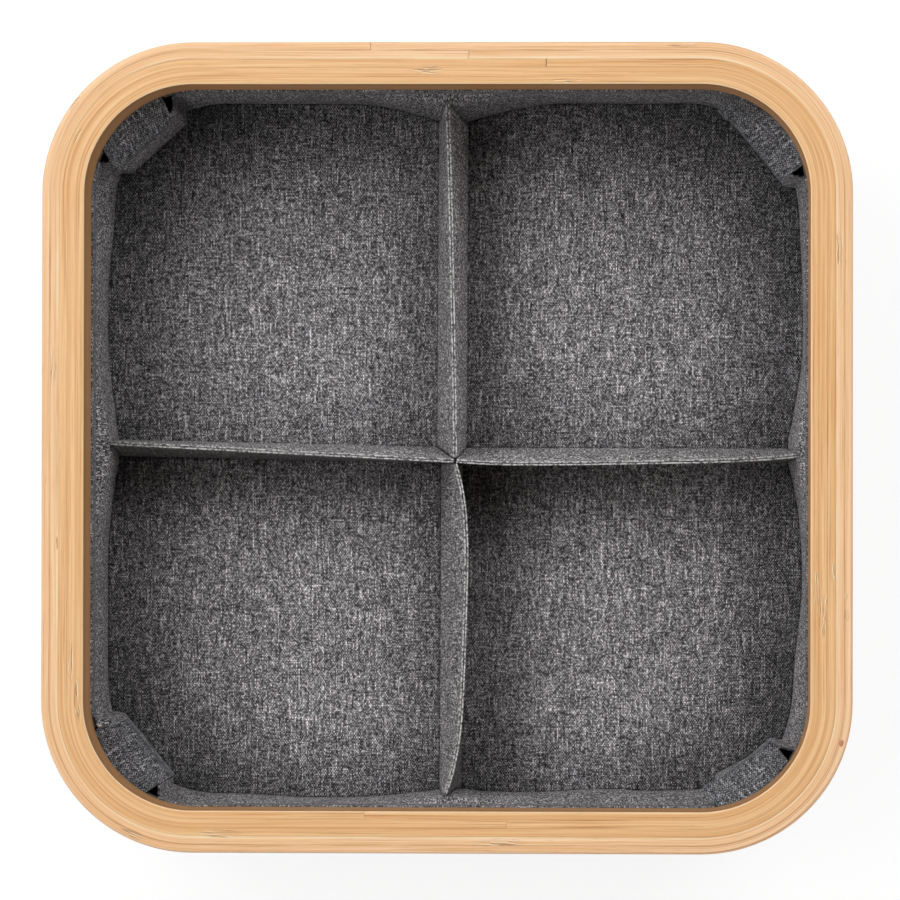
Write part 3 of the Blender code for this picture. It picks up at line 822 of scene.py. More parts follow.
@dataclass(frozen=True)
class MelangeFinish:
    """Plain-woven cloth of mixed dark and pale fibres, with pale and dark slubs along its threads."""

    name: str
    shade: float = 0.275
    warp_pitch: float = 0.00047
    weft_pitch: float = 0.00069
    warp_slub: float = 0.0085
    weft_slub: float = 0.0065
    check: float = 0.20
    speck: float = 0.88
    warp_share: float = 0.36
    weft_share: float = 0.22
    tuft: float = 1.5
    wander: float = 0.0006
    relief: float = 0.00010
    pale_edge: float = 0.0
    edge_low: float = 0.0006
    edge_high: float = 0.0002
    tint: Colour = (1.0, 0.975, 1.01)
    tones: tuple[tuple[float, float], ...] = (
        (0.0, 0.07), (0.20, 0.26), (0.41, 0.74), (0.62, 1.55), (0.82, 2.9), (1.0, 4.6))
    shades: tuple[EdgeShade, ...] = ()
    fold: float = 0.0272
    cut_off: float = 30.0

    def slubs(self, sheet: NodeSheet, thread: Socket, place: Socket, length: float, seed: float) -> Socket:
        """Return how much paler or darker a thread is at a place along it.

        Args:
            sheet: The material's nodes.
            thread: The number of the thread.
            place: The place along it in metres.
            length: The length of a slub.
            seed: Which noise.

        Returns:
            A socket with a value from -1 at a dark slub to 1 at a pale one.
        """
        apart = sheet.times(sheet.specks(sheet.join(thread, seed)), 900.0)
        run = sheet.clouds(sheet.join(apart, sheet.maths("DIVIDE", place, length), seed), 1.0, 1.0, 0.6)
        pale = sheet.span(run, 0.56, 0.66)
        dark = sheet.span(run, 0.42, 0.30, 0.0, 0.8)
        return sheet.less(pale, dark)

    def reach(self, sheet: NodeSheet, kind: Reach, x: Socket, y: Socket) -> Socket:
        """Return how far a place lies toward an edge.

        Args:
            sheet: The material's nodes.
            kind: Which edge.
            x: How far the place is to the right of the middle of the basket, in metres.
            y: How far it is behind the middle.

        Returns:
            The distance's socket.
        """
        if kind in (Reach.RIGHT, Reach.BACK):
            return x if kind is Reach.RIGHT else y
        if kind is Reach.FRONT_DIVIDER:
            right = sheet.maths("MINIMUM", sheet.times(x, -1.0), sheet.times(x, self.cut_off))
            return sheet.maths("MINIMUM", right, sheet.times(y, -self.cut_off))
        if kind is Reach.TAB_END:
            gap = sheet.maths("ABSOLUTE", sheet.less(sheet.plus(x, y), self.fold))
            return sheet.maths("MULTIPLY_ADD", gap, -1.0, sheet.maths("MINIMUM", y, 0.0))
        wide, long = sheet.maths("ABSOLUTE", x), sheet.maths("ABSOLUTE", y)
        if kind is Reach.CROSSING:
            front = sheet.maths("MINIMUM", sheet.plus(x, y), 0.0)
            near = sheet.maths("MULTIPLY_ADD", wide, -2.0, sheet.times(long, -1.0))
            return sheet.maths("MULTIPLY_ADD", front, 2.0, near)
        if kind is Reach.CORNER:
            return sheet.plus(wide, long)
        return sheet.maths("MAXIMUM" if kind is Reach.WALL else "MINIMUM", wide, long)

    def weave(self, sheet: NodeSheet, u: Socket, v: Socket, across: Socket, along: Socket) -> Socket:
        """Return how pale the thread on top is at a place.

        Args:
            sheet: The material's nodes.
            u: The place across the cut in metres.
            v: The place up the cut in metres.
            across: The same as u, counted in warp threads.
            along: The same as v, counted in weft threads.

        Returns:
            A socket with a value from 0 to 1.
        """
        warp = sheet.maths("FLOOR", across)
        weft = sheet.maths("FLOOR", along)
        over = sheet.maths("PINGPONG", sheet.plus(warp, weft), 1.0)
        tone = sheet.maths("MULTIPLY_ADD", over, -2 * self.check, self.check)
        tuft = sheet.maths("FLOOR", sheet.times(along, self.tuft))
        fibre = sheet.less(sheet.specks(sheet.join(warp, tuft, 1.7)), 0.5)
        tone = sheet.plus(tone, sheet.times(fibre, self.speck))
        warp_slub = self.slubs(sheet, warp, v, self.warp_slub, 0.0)
        weft_slub = self.slubs(sheet, weft, u, self.weft_slub, 9.0)
        tone = sheet.plus(tone, sheet.times(warp_slub, self.warp_share))
        tone = sheet.plus(tone, sheet.times(weft_slub, self.weft_share))
        return sheet.span(tone, -0.62, 0.90)

    def shaded(self, sheet: NodeSheet, colour: Socket) -> Socket:
        """Darken the bands of the cloth that lie in shade.

        Args:
            sheet: The material's nodes.
            colour: The colour so far.

        Returns:
            The colour.
        """
        x, y = sheet.flat_place()
        for band in self.shades:
            share = sheet.span(self.reach(sheet, band.reach, x, y), band.start, band.full)
            colour = sheet.mix(share, colour, sheet.tinted(colour, (band.light,) * 3))
        return colour

    def make(self) -> Material:
        """Return the material, which reads the UV map of the cut in metres.

        Returns:
            The material.
        """
        sheet = NodeSheet(bpy.data.materials.new(self.name))
        u, v = sheet.uv("cloth")
        wander = sheet.times(sheet.clouds(sheet.join(u, v), 30.0, 1.0), self.wander)
        across = sheet.maths("DIVIDE", sheet.plus(u, wander), self.warp_pitch)
        along = sheet.maths("DIVIDE", sheet.less(v, wander), self.weft_pitch)
        tone = self.weave(sheet, u, v, across, along)
        colour = sheet.mottle(tone, self.tint, *((place, self.shade * share) for place, share in self.tones))
        worn = sheet.clouds(sheet.join(u, v), 55.0, 3.0, 0.55)
        colour = sheet.tinted(colour, sheet.mottle(worn, WHITE, (0.3, 0.93), (0.7, 1.0)))
        # Painted shade between the threads and a painted highlight on their crowns: the colour drops to half
        # where the thread profile is low and rises to 1.18 times where it is high. The same profile also
        # drives the bump.
        ridge = sheet.maths("SINE", sheet.times(sheet.maths("FRACT", across), math.pi))
        furrow = sheet.maths("SINE", sheet.times(sheet.maths("FRACT", along), math.pi))
        least = sheet.maths("MINIMUM", ridge, furrow)
        colour = sheet.tinted(colour, sheet.mottle(least, WHITE, (0.0, 0.50), (0.8, 1.18)))
        if self.shades:
            colour = self.shaded(sheet, colour)
        # Painted highlight along the top edge of a divider's leaf: the last fraction of a millimetre below
        # the top goes toward a pale, broken grey.
        if self.pale_edge:
            gloss_wear_and_edge_highlight = sheet.clouds(sheet.place(), 1050.0, 1.0, 0.5)
            pale = sheet.mottle(gloss_wear_and_edge_highlight, WHITE, (0.38, 0.11), (0.58, 0.70))
            edge = sheet.span(v, self.pale_edge - self.edge_low, self.pale_edge - self.edge_high)
            colour = sheet.mix(edge, colour, pale)
        sheet.bump(sheet.plus(least, sheet.times(tone, 0.8)), self.relief, 0.7)
        return sheet.finish(colour, 0.92, Sheen_Weight=0.06, Sheen_Roughness=0.5, Specular_IOR_Level=0.2)


@dataclass(frozen=True)
class BambooNode:
    """A node of the cane: where it lies along the hoop and in from the rim's outer face, and its size."""

    along: float
    offset: float
    length: float = 0.012
    width: float = 0.0030
    red: bool = False


@dataclass(frozen=True)
class Strands:
    """Noise drawn out along a strip: how many strands start in a metre along and across it, and its seed."""

    along: float
    across: float
    seed: float


@dataclass(frozen=True)
class BambooFinish:
    """One ply of bamboo: its long fibres, the glue line on either side and the short splits of its nodes.

    The pale, ripe and deep fields are shares of the ply's own tone.
    """

    name: str
    tone: Colour
    seed: float
    width: float
    level: float
    nodes: tuple[BambooNode, ...] = ()
    streak: float = 0.5
    glue: float = 0.5
    pale_edge: float = 0.0
    outer_face: bool = False
    inner_face: bool = False
    pale: Colour = (1.12, 1.24, 1.44)
    ripe: Colour = (0.86, 0.70, 0.54)
    deep: Colour = (0.56, 0.36, 0.22)
    drift: float = 0.0022
    broad: Strands = Strands(4.0, 420.0, 0.0)
    bands: Strands = Strands(9.0, 1150.0, 3.0)
    fine: Strands = Strands(36.0, 3400.0, 5.0)
    lines: Strands = Strands(13.0, 1900.0, 8.0)
    pores: Strands = Strands(120.0, 4200.0, 11.0)
    splits: Strands = Strands(130.0, 1700.0, 21.0)
    split_step: float = 0.00034
    glue_core: float = 0.00004
    glue_reach: float = 0.00046
    # Painted highlights and painted shade for the rim's top face, its inner arris and its inner face.
    painted_line_highlight: Colour = (0.96, 0.78, 0.52)
    painted_arris_highlight: Colour = (1.0, 0.86, 0.62)
    low_painted_shade: Colour = (0.74, 0.66, 0.56)
    high_painted_shade: Colour = (0.52, 0.43, 0.34)
    red_patch: Colour = (0.44, 0.15, 0.065)
    bruise: Colour = (0.62, 0.36, 0.17)
    sliver: Colour = (1.0, 0.84, 0.58)
    split: Colour = (0.36, 0.17, 0.06)

    def strands(self, sheet: NodeSheet, u: Socket, v: Socket, kind: Strands) -> Socket:
        """Return noise that is drawn out along the strip.

        Args:
            sheet: The material's nodes.
            u: The place along the strip.
            v: The place across it.
            kind: Which strands.

        Returns:
            The value's socket.
        """
        place = sheet.join(sheet.times(u, kind.along), sheet.times(v, kind.across), self.seed + kind.seed)
        return sheet.clouds(place, 1.0, 3.0, 0.55)

    def make(self) -> Material:
        """Return the material, which reads the strip's UV map and the map of its cut section.

        Returns:
            The material.
        """
        sheet = NodeSheet(bpy.data.materials.new(self.name))
        u, v = sheet.uv("strip")
        across, level = sheet.uv("section")
        v = sheet.plus(v, sheet.times(sheet.clouds(sheet.join(u, self.seed), 7.0, 2.0), self.drift))
        pale = tuple(min(1.0, part) for part in toned(self.tone, self.pale))
        ripe, deep = toned(self.tone, self.ripe), toned(self.tone, self.deep)
        colour = sheet.mix(sheet.span(self.strands(sheet, u, v, self.broad), 0.36, 0.60), pale, self.tone)
        bands = sheet.span(self.strands(sheet, u, v, self.bands), 0.47, 0.66)
        colour = sheet.mix(sheet.times(bands, self.streak), colour, ripe)
        fine = self.strands(sheet, u, v, self.fine)
        colour = sheet.mix(sheet.span(fine, 0.52, 0.70, 0.0, 0.55), colour, ripe)
        colour = sheet.mix(sheet.span(fine, 0.46, 0.32, 0.0, 0.55), colour, pale)
        lines = sheet.span(self.strands(sheet, u, v, self.lines), 0.60, 0.68)
        colour = sheet.mix(sheet.times(lines, self.streak), colour, deep)
        pores = sheet.span(self.strands(sheet, u, v, self.pores), 0.63, 0.74, 0.0, 0.5)
        colour = sheet.mix(pores, colour, deep)
        broken = sheet.span(sheet.clouds(sheet.join(u, self.seed + 2.0), 26.0, 3.0), 0.36, 0.60, 0.15, 1.0)
        glue = self.glue_share(sheet, across, level, broken)
        edge = self.outer_face or self.inner_face
        if not edge:
            colour = sheet.mix(glue, colour, deep)
        # Painted highlight: a pale, broken line just inside the ply's inner edge.
        if self.pale_edge:
            rim = sheet.span(sheet.less(self.width, across), 0.0009, 0.0003, 0.0, self.pale_edge)
            colour = sheet.mix(sheet.times(rim, broken), colour, self.painted_line_highlight)
        if self.nodes:
            colour = self.add_nodes(sheet, colour, u, v, across)
        if edge:
            colour = sheet.mix(glue, colour, deep)
        # Painted shade: the outermost half millimetre of the outer ply goes toward the ripe tone, a darker
        # line along the rounded outer edge.
        if self.outer_face:
            colour = sheet.mix(sheet.span(across, 0.00050, 0.00015, 0.0, 0.45), colour, ripe)
        if self.inner_face:
            colour = self.add_inner_face(sheet, colour, across, level)
        relief = sheet.less(1.0, sheet.maths("MAXIMUM", lines, pores))
        sheet.bump(relief, 0.00005, 0.5)
        shine = sheet.span(fine, 0.3, 0.7, 0.42, 0.56)
        return sheet.finish(colour, shine, Specular_IOR_Level=0.35, Coat_Weight=0.05, Coat_Roughness=0.4)

    def glue_share(self, sheet: NodeSheet, across: Socket, level: Socket, broken: Socket) -> Socket:
        """Return how much of a glue line shows, on the top face and only where another ply is glued on.

        Args:
            sheet: The material's nodes.
            across: The place across the ply.
            level: The height.
            broken: How whole the line is along the strip.

        Returns:
            The share's socket.
        """
        top = sheet.span(level, self.level - 0.0009, self.level - 0.0003)
        near = across
        if self.outer_face:
            near = sheet.less(self.width, across)
        elif not self.inner_face:
            near = sheet.maths("MINIMUM", across, sheet.less(self.width, across))
        line = sheet.span(near, self.glue_core, self.glue_reach, self.glue, 0.0)
        return sheet.times(sheet.times(line, top), broken)

    def add_inner_face(self, sheet: NodeSheet, colour: Socket, across: Socket, level: Socket) -> Socket:
        """Paint shade on the rim's inner face, darker toward its top, and a painted highlight on its upper
        arris.

        Args:
            sheet: The material's nodes.
            colour: The colour so far.
            across: The place across the ply.
            level: The height.

        Returns:
            The colour with the stain and the arris.
        """
        # Painted shade on the rim's inner face, darker toward its top.
        face = sheet.span(across, self.width - 0.00018, self.width - 0.00006)
        shade = sheet.span(level, self.level - 0.012, self.level - 0.0006)
        painted_face_shade = sheet.mix(shade, self.low_painted_shade, self.high_painted_shade)
        colour = sheet.mix(face, colour, painted_face_shade, "MULTIPLY")
        # Painted highlight: a pale line along the upper arris, just above the shaded face.
        arris = sheet.less(sheet.span(across, self.width - 0.00070, self.width - 0.00045), face)
        return sheet.mix(sheet.times(arris, 0.45), colour, self.painted_arris_highlight)

    def add_nodes(self, sheet: NodeSheet, colour: Socket, u: Socket, v: Socket, across: Socket) -> Socket:
        """Break the fibres up at the nodes, where short dark splits and pale slivers lie side by side.

        Args:
            sheet: The material's nodes.
            colour: The colour so far.
            u: The place along the strip.
            v: The place across it, as the fibres run.
            across: The place across the ply.

        Returns:
            The colour with the nodes.
        """
        fray = self.strands(sheet, u, v, self.splits)
        beside = self.strands(sheet, u, sheet.plus(v, self.split_step), self.splits)
        split = sheet.span(fray, 0.535, 0.595)
        sliver = sheet.span(beside, 0.535, 0.595)
        soft = sheet.span(fray, 0.35, 0.65)
        for node in self.nodes:
            stretch = sheet.maths("DIVIDE", sheet.less(u, node.along), node.length / 2)
            squeeze = sheet.maths("DIVIDE", sheet.less(across, node.offset), node.width / 2)
            square = sheet.plus(sheet.maths("POWER", stretch, 2.0), sheet.maths("POWER", squeeze, 2.0))
            inside = sheet.span(square, 1.25, 0.5)
            if node.red:
                colour = sheet.mix(sheet.times(inside, soft), colour, self.red_patch)
                continue
            colour = sheet.mix(sheet.times(inside, 0.22), colour, self.bruise)
            colour = sheet.mix(sheet.times(inside, sheet.times(sliver, 0.8)), colour, self.sliver)
            colour = sheet.mix(sheet.times(inside, sheet.times(split, 0.8)), colour, self.split)
        return colour


@dataclass(frozen=True)
class ThreadFinish:
    """Sewing thread, twisted from two strands."""

    name: str = "sewing_thread"
    tone: Colour = (0.20, 0.20, 0.21)

    def make(self) -> Material:
        """Return the material."""
        sheet = NodeSheet(bpy.data.materials.new(self.name))
        twist = sheet.clouds(sheet.place(), 2600.0, 2.0, 0.6)
        colour = sheet.mottle(twist, self.tone, (0.35, 0.6), (0.65, 1.5))
        sheet.bump(twist, 0.00005, 0.6)
        return sheet.finish(colour, 0.7, Sheen_Weight=0.2)


@dataclass(frozen=True)
class SteelFinish:
    """Drawn or pressed steel, painted or plated, with fine wear in its gloss."""

    name: str
    tone: Colour
    roughness: float
    metallic: float

    def make(self) -> Material:
        """Return the material."""
        sheet = NodeSheet(bpy.data.materials.new(self.name))
        place = sheet.place()
        gloss_wear_and_edge_highlight = sheet.clouds(place, 420.0, 4.0, 0.6)
        patch = sheet.clouds(place, 60.0, 2.0, 0.5)
        colour = sheet.mottle(patch, self.tone, (0.3, 0.8), (0.7, 1.15))
        shine = sheet.span(gloss_wear_and_edge_highlight, 0.3, 0.7, self.roughness - 0.08, self.roughness + 0.12)
        sheet.bump(gloss_wear_and_edge_highlight, 0.00003, 0.4)
        return sheet.finish(colour, shine, Metallic=self.metallic)


@dataclass(frozen=True)
class BoardFinish:
    """Grey pressed board, with its flecks of fibre."""

    name: str = "grey_board"
    tone: Colour = (0.32, 0.30, 0.27)
    fleck: Colour = (0.35, 0.35, 0.35)

    def make(self) -> Material:
        """Return the material."""
        sheet = NodeSheet(bpy.data.materials.new(self.name))
        place = sheet.place()
        pulp = sheet.clouds(place, 300.0, 5.0, 0.65, 1.2)
        fleck = sheet.clouds(place, 1300.0, 2.0, 0.5)
        colour = sheet.mottle(pulp, self.tone, (0.3, 0.8), (0.7, 1.15))
        colour = sheet.mix(sheet.span(fleck, 0.66, 0.74, 0.0, 0.5), colour, toned(self.tone, self.fleck))
        sheet.bump(pulp, 0.0001, 0.5)
        return sheet.finish(colour, 0.85)


def place_piece(item: Piece, slot: Slot, replaced: Sequence[str] = ()) -> Piece:
    """Let a finished piece ride on the body and stand for its nodes.

    Args:
        item: The piece.
        slot: The record's slot, which is not used.
        replaced: The model's nodes that it stands for.

    Returns:
        The piece.
    """
    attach(item, BODY)
    if replaced:
        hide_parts(*replaced)
    log.info("built %s", item.name)
    return item


def add_object(name: str, data: bpy.types.ID) -> Piece:
    """Put an object into the scene."""
    item = bpy.data.objects.new(name, data)
    bpy.context.scene.collection.objects.link(item)
    return item


def new_object(name: str, bm: bmesh.types.BMesh, material: Material) -> Piece:
    """Turn a bmesh into a smooth object with one material, at the origin.

    Args:
        name: The object's name.
        bm: The mesh, which is freed.
        material: The finish.

    Returns:
        The object.
    """
    mesh = bpy.data.meshes.new(name)
    bm.to_mesh(mesh)
    bm.free()
    mesh.materials.append(material)
    mesh.shade_smooth()
    return add_object(name, mesh)


def thicken_cloth(item: Piece, thickness: float) -> None:
    """Give a sheet its thickness, half to each side.

    Args:
        item: The sheet.
        thickness: Its thickness.
    """
    solid = item.modifiers.new("thickness", "SOLIDIFY")
    solid.thickness = thickness
    solid.offset = 0.0
    solid.use_even_offset = True
    solid.use_quality_normals = True


@dataclass(frozen=True)
class ClothCut:
    """One cut of cloth: its flat size, its thickness, and the height and the width of its mesh's cells."""

    name: str
    width: float
    length: float
    thickness: float
    cell: float = 0.0018
    cell_width: float = 0.0

    def bend(self, where: Callable[[float, float], Vector], material: Material) -> Piece:
        """Lay the cut out flat, then carry each point to its place.

        Args:
            where: Gives the place of the cloth's middle for a share of its width and of its length.
            material: The cloth's finish.

        Returns:
            The cut in its place, with a UV map of its flat size in metres.
        """
        bm = bmesh.new()
        columns = max(2, round(self.width / (self.cell_width or self.cell)))
        rows = max(2, round(self.length / self.cell))
        bmesh.ops.create_grid(bm, x_segments=columns, y_segments=rows, size=0.5)
        layer = bm.loops.layers.uv.new("cloth")
        for face in bm.faces:
            for loop in face.loops:
                u, v, _level = loop.vert.co
                loop[layer].uv = ((u + 0.5) * self.width, (v + 0.5) * self.length)
        for vert in bm.verts:
            vert.co = where(vert.co.x + 0.5, vert.co.y + 0.5)
        item = new_object(self.name, bm, material)
        thicken_cloth(item, self.thickness)
        return item


@dataclass(frozen=True)
class SeamRow:
    """A row of stitches along a line."""

    name: str
    spacing: float = 0.0028
    length: float = 0.0019
    thread: float = 0.00036

    def sew(self, lines: Sequence[Sequence[Vector]], material: Material) -> Piece:
        """Sew one stitch after another along each line.

        Args:
            lines: The lines, each as close points.
            material: The thread's finish.

        Returns:
            The rows as one piece.
        """
        bm = bmesh.new()
        for points in lines:
            for middle, direction in self.places(points):
                turn = direction.to_track_quat("X", "Z").to_matrix().to_4x4()
                size = Matrix.Diagonal((self.length / 2, self.thread / 2, self.thread / 2, 1.0))
                bmesh.ops.create_icosphere(
                    bm, subdivisions=1, radius=1.0, matrix=Matrix.Translation(middle) @ turn @ size)
        return new_object(self.name, bm, material)

    def places(self, points: Sequence[Vector]) -> list[tuple[Vector, Vector]]:
        """Return the middle and the direction of each stitch on a line.

        Args:
            points: The line, as close points.

        Returns:
            The stitches' middles and directions.
        """
        found = []
        left = self.spacing / 2
        for start, end in zip(points, points[1:]):
            step = end - start
            while left <= step.length:
                found.append((start + step * (left / step.length), step.normalized()))
                left += self.spacing
            left -= step.length
        return found


@dataclass
class BambooRim:
    """The rim: five plies bent round the corners and glued, with their butt joints staggered.

    A joint is the number of its side, its share of the side's straight and its gap.
    """

    form: BasketForm
    pitch: float = 0.0032
    seam: float = 0.000004
    outer_radius: float = 0.0011
    inner_radius: float = 0.0007
    glue_edge: float = 0.00001
    corner_steps: int = 26
    straight_steps: int = 6
    rounding_steps: int = 5
    joints: tuple[tuple[int, float, float], ...] = (
        (1, 0.150, 0.00014), (1, -0.043, 0.00012), (1, -0.195, 0.00026), (3, 0.120, 0.00008),
        (3, -0.160, 0.00008))
    tones: tuple[Colour, ...] = (
        (0.890, 0.560, 0.305), (0.885, 0.560, 0.300), (0.800, 0.465, 0.205), (0.805, 0.470, 0.210),
        (0.800, 0.465, 0.205))
    glue_lines: tuple[float, ...] = (0.85, 0.90, 0.55, 0.35, 0.35)
    streaks: tuple[float, ...] = (0.6, 0.6, 0.75, 0.75, 0.75)
    # The second ply carries the painted highlight line near its inner edge.
    pale_edges: tuple[float, ...] = (0.0, 0.85, 0.0, 0.0, 0.0)
    nodes: tuple[BambooNode, ...] = (
        BambooNode(-0.1058, 0.0021, 0.0022, 0.0019, True), BambooNode(-0.0617, 0.0022, 0.0050, 0.0020),
        BambooNode(-0.0550, 0.0026, 0.0040, 0.0012), BambooNode(-0.0610, 0.0108, 0.0170, 0.0034),
        BambooNode(-0.0520, 0.0136, 0.0120, 0.0028), BambooNode(-0.0455, 0.0074, 0.0080, 0.0016),
        BambooNode(0.0735, 0.0050, 0.0140, 0.0030), BambooNode(0.1672, 0.0012, 0.0130, 0.0018),
        BambooNode(0.2110, 0.0144, 0.0110, 0.0016), BambooNode(0.2625, 0.0104, 0.0120, 0.0036),
        BambooNode(0.3880, 0.0011, 0.0050, 0.0020), BambooNode(0.3960, 0.0078, 0.0060, 0.0020),
        BambooNode(0.4795, 0.0042, 0.0150, 0.0024), BambooNode(0.5450, 0.0060, 0.0050, 0.0014),
        BambooNode(0.5900, 0.0110, 0.0170, 0.0024), BambooNode(0.6030, 0.0134, 0.0170, 0.0028),
        BambooNode(0.6525, 0.0022, 0.0080, 0.0030), BambooNode(0.6815, 0.0072, 0.0160, 0.0030),
        BambooNode(0.7845, 0.0040, 0.0190, 0.0034),
    )

    def outline(self, index: int) -> list[tuple[float, float]]:
        """Return a ply's section as offsets and levels, rounded where it is an edge of the rim.

        Args:
            index: The number of the ply.

        Returns:
            The section's points.
        """
        near = 0.0 if index == 0 else index * self.pitch - self.form.fit / 2 + self.seam
        last = index == len(self.joints) - 1
        far = self.form.rim_wall if last else (index + 1) * self.pitch - self.form.fit / 2
        low, high = self.form.rim_bottom, self.form.height
        edge = self.inner_radius if last else self.outer_radius
        points: list[tuple[float, float]] = []
        corners = (
            (far, low, -1, 1, last), (far, high, -1, -1, last),
            (near, high, 1, -1, index == 0), (near, low, 1, 1, index == 0))
        for number, (offset, level, inward, upward, rounded) in enumerate(corners):
            radius = edge if rounded else self.glue_edge
            steps = self.rounding_steps if rounded else 1
            start = (number - 1) * math.pi / 2
            centre = (offset + inward * radius, level + upward * radius)
            for step in range(steps + 1):
                angle = start + math.pi / 2 * step / steps
                points.append((centre[0] + radius * math.cos(angle), centre[1] + radius * math.sin(angle)))
        return points

    def stations(self, index: int) -> list[float]:
        """Return the distances of a ply's sections, from one side of its joint round to the other.

        Args:
            index: The number of the ply.

        Returns:
            The distances along the hoop.
        """
        form = self.form
        side, share, gap = self.joints[index]
        joint = side * form.side_length + share * form.straight
        full = 4 * form.side_length
        arc = form.side_length - form.straight
        places = []
        for corner in range(4):
            start = corner * form.side_length + form.straight / 2
            places += [start + arc * step / self.corner_steps for step in range(self.corner_steps + 1)]
            places += [
                start - form.straight * step / self.straight_steps for step in range(1, self.straight_steps)]
        turned = sorted(joint + (place - joint) % full for place in places)
        return [joint + gap / 2] + turned + [joint + full - gap / 2]

    def ply_nodes(self, index: int, near: float) -> tuple[BambooNode, ...]:
        """Return the nodes that a ply shows, measured from its joint on and from its outer face.

        Args:
            index: The number of the ply.
            near: The offset of the ply's outer face.

        Returns:
            The nodes.
        """
        full = 4 * self.form.side_length
        start = self.stations(index)[0]
        found = []
        for node in self.nodes:
            offset = node.offset - near
            if -node.width / 2 < offset < self.pitch + node.width / 2:
                along = start + (node.along - start) % full
                found.append(replace(node, along=along, offset=offset))
        return tuple(found)

    def build(self) -> None:
        """Build and dress each ply."""
        for index in range(len(self.joints)):
            outline = self.outline(index)
            near = min(offset for offset, _level in outline)
            finish = BambooFinish(
                name=f"bamboo_ply_{index + 1}", tone=self.tones[index], seed=3.1 * index + 1.7,
                width=max(offset for offset, _level in outline) - near, level=self.form.height,
                nodes=self.ply_nodes(index, near), streak=self.streaks[index], glue=self.glue_lines[index],
                pale_edge=self.pale_edges[index], outer_face=index == 0,
                inner_face=index == len(self.joints) - 1)
            bm = self.bend_ply(outline, self.stations(index))
            item = new_object(f"bamboo_ply_{index + 1}", bm, finish.make())
            item.data.set_sharp_from_angle(angle=math.radians(40))
            place_piece(item, Slot.BAMBOO, [f"rim_ply_{index + 1}"])

    def bend_ply(self, outline: list[tuple[float, float]], stations: list[float]) -> bmesh.types.BMesh:
        """Carry a ply's section round the rim and lay its two UV maps.

        Args:
            outline: The section's points.
            stations: The distances of the sections along the hoop.

        Returns:
            The mesh, with the strip and section maps in metres.
        """
        run = [0.0]
        for before, after in zip(outline, outline[1:] + outline[:1]):
            run.append(run[-1] + math.dist(before, after))
        bm = bmesh.new()
        station_layer = bm.verts.layers.int.new("station")
        spot_layer = bm.verts.layers.int.new("spot")
        first = [bm.verts.new(self.form.ring_point(stations[0], *place)) for place in outline]
        for spot, vert in enumerate(first):
            vert[spot_layer] = spot
        face = bm.faces.new(first)
        for number, station in enumerate(stations[1:], 1):
            grown = bmesh.ops.extrude_face_region(bm, geom=[face, *face.edges, *face.verts])["geom"]
            face = next(part for part in grown if isinstance(part, bmesh.types.BMFace))
            for vert in face.verts:
                vert[station_layer] = number
                vert.co = self.form.ring_point(station, *outline[vert[spot_layer]])
        bmesh.ops.recalc_face_normals(bm, faces=bm.faces)
        strip = bm.loops.layers.uv.new("strip")
        section = bm.loops.layers.uv.new("section")
        near = min(offset for offset, _level in outline)
        for face in bm.faces:
            spots = {loop.vert[spot_layer] for loop in face.loops}
            wraps = spots == {0, len(outline) - 1}
            for loop in face.loops:
                spot = loop.vert[spot_layer]
                along = run[len(outline)] if wraps and spot == 0 else run[spot]
                loop[strip].uv = (stations[loop.vert[station_layer]], along)
                loop[section].uv = (outline[spot][0] - near, outline[spot][1])
        return bm


@dataclass
class OuterBasket:
    """The outer wall cloth, wrapped round and closed in a back corner, and the cloth underneath."""

    form: BasketForm
    material: Material
    slack: float = 0.0005
    slack_limit: float = 0.0002
    full_arch: float = 0.001
    cell: float = 0.0032
    bottom_tuck: float = 0.00015
    bottom_steps: int = 220
    bottom_cell: float = 0.009

    def offset(self, distance: float, level: float) -> float:
        """Return the offset of the middle of the outer wall cloth.

        Args:
            distance: How far along the hoop.
            level: The height.

        Returns:
            The offset from the rim's outer face.
        """
        form = self.form
        height = min(1.0, max(0.0, level / form.hem_bottom))
        ripple = noise.noise(Vector((distance * 19.0, level * 26.0, 5.1)))
        arch = ease(form.corner_draw(distance, 0.0) / self.full_arch)
        slack = self.slack * ripple * math.sin(math.pi * height) * blend(0.35, 1.0, arch)
        draw = form.corner_draw(distance, level)
        return form.outer_offset + form.cloth / 2 + draw + min(slack, self.slack_limit)

    def build_wall(self) -> None:
        """Build the wall cloth."""
        form = self.form
        seam = form.tab_centre(1)
        full = 4 * form.side_length

        def where(run: float, rise: float) -> Vector:
            """Return the place of a point of the wall cloth.

            Args:
                run: Its share of the width.
                rise: Its share of the height.

            Returns:
                The place.
            """
            distance = (seam + form.fit / 2 + run * (full - form.fit)) % full
            corner, gap = form.nearest_tab(distance)
            bare = abs(gap) <= form.hem_start(corner) + form.fit
            level = rise * (form.outer_corner_top if bare else form.wall_top)
            return form.ring_point(distance, self.offset(distance, level), level)

        cut = ClothCut("outer_wall", full, form.wall_top, form.cloth, self.cell)
        wall = place_piece(cut.bend(where, self.material), Slot.OUTER_CLOTH, ["outer_wall_cloth"])

    def build_bottom(self) -> None:
        """Build the bottom cloth, cut to the inside of the wall."""
        form = self.form
        inset = form.cloth * 1.5 - self.bottom_tuck
        full = 4 * form.side_length
        outline = []
        for step in range(self.bottom_steps):
            distance = full * step / self.bottom_steps
            offset = form.outer_offset + inset - form.cloth / 2 + form.corner_draw(distance, 0.0)
            outline.append(form.ring_point(distance, offset, form.cloth / 2))
        item = fill_outline("bottom_panel", outline, self.bottom_cell, self.material)
        thicken_cloth(item, form.cloth)
        place_piece(item, Slot.OUTER_CLOTH, ["bottom_cloth"])


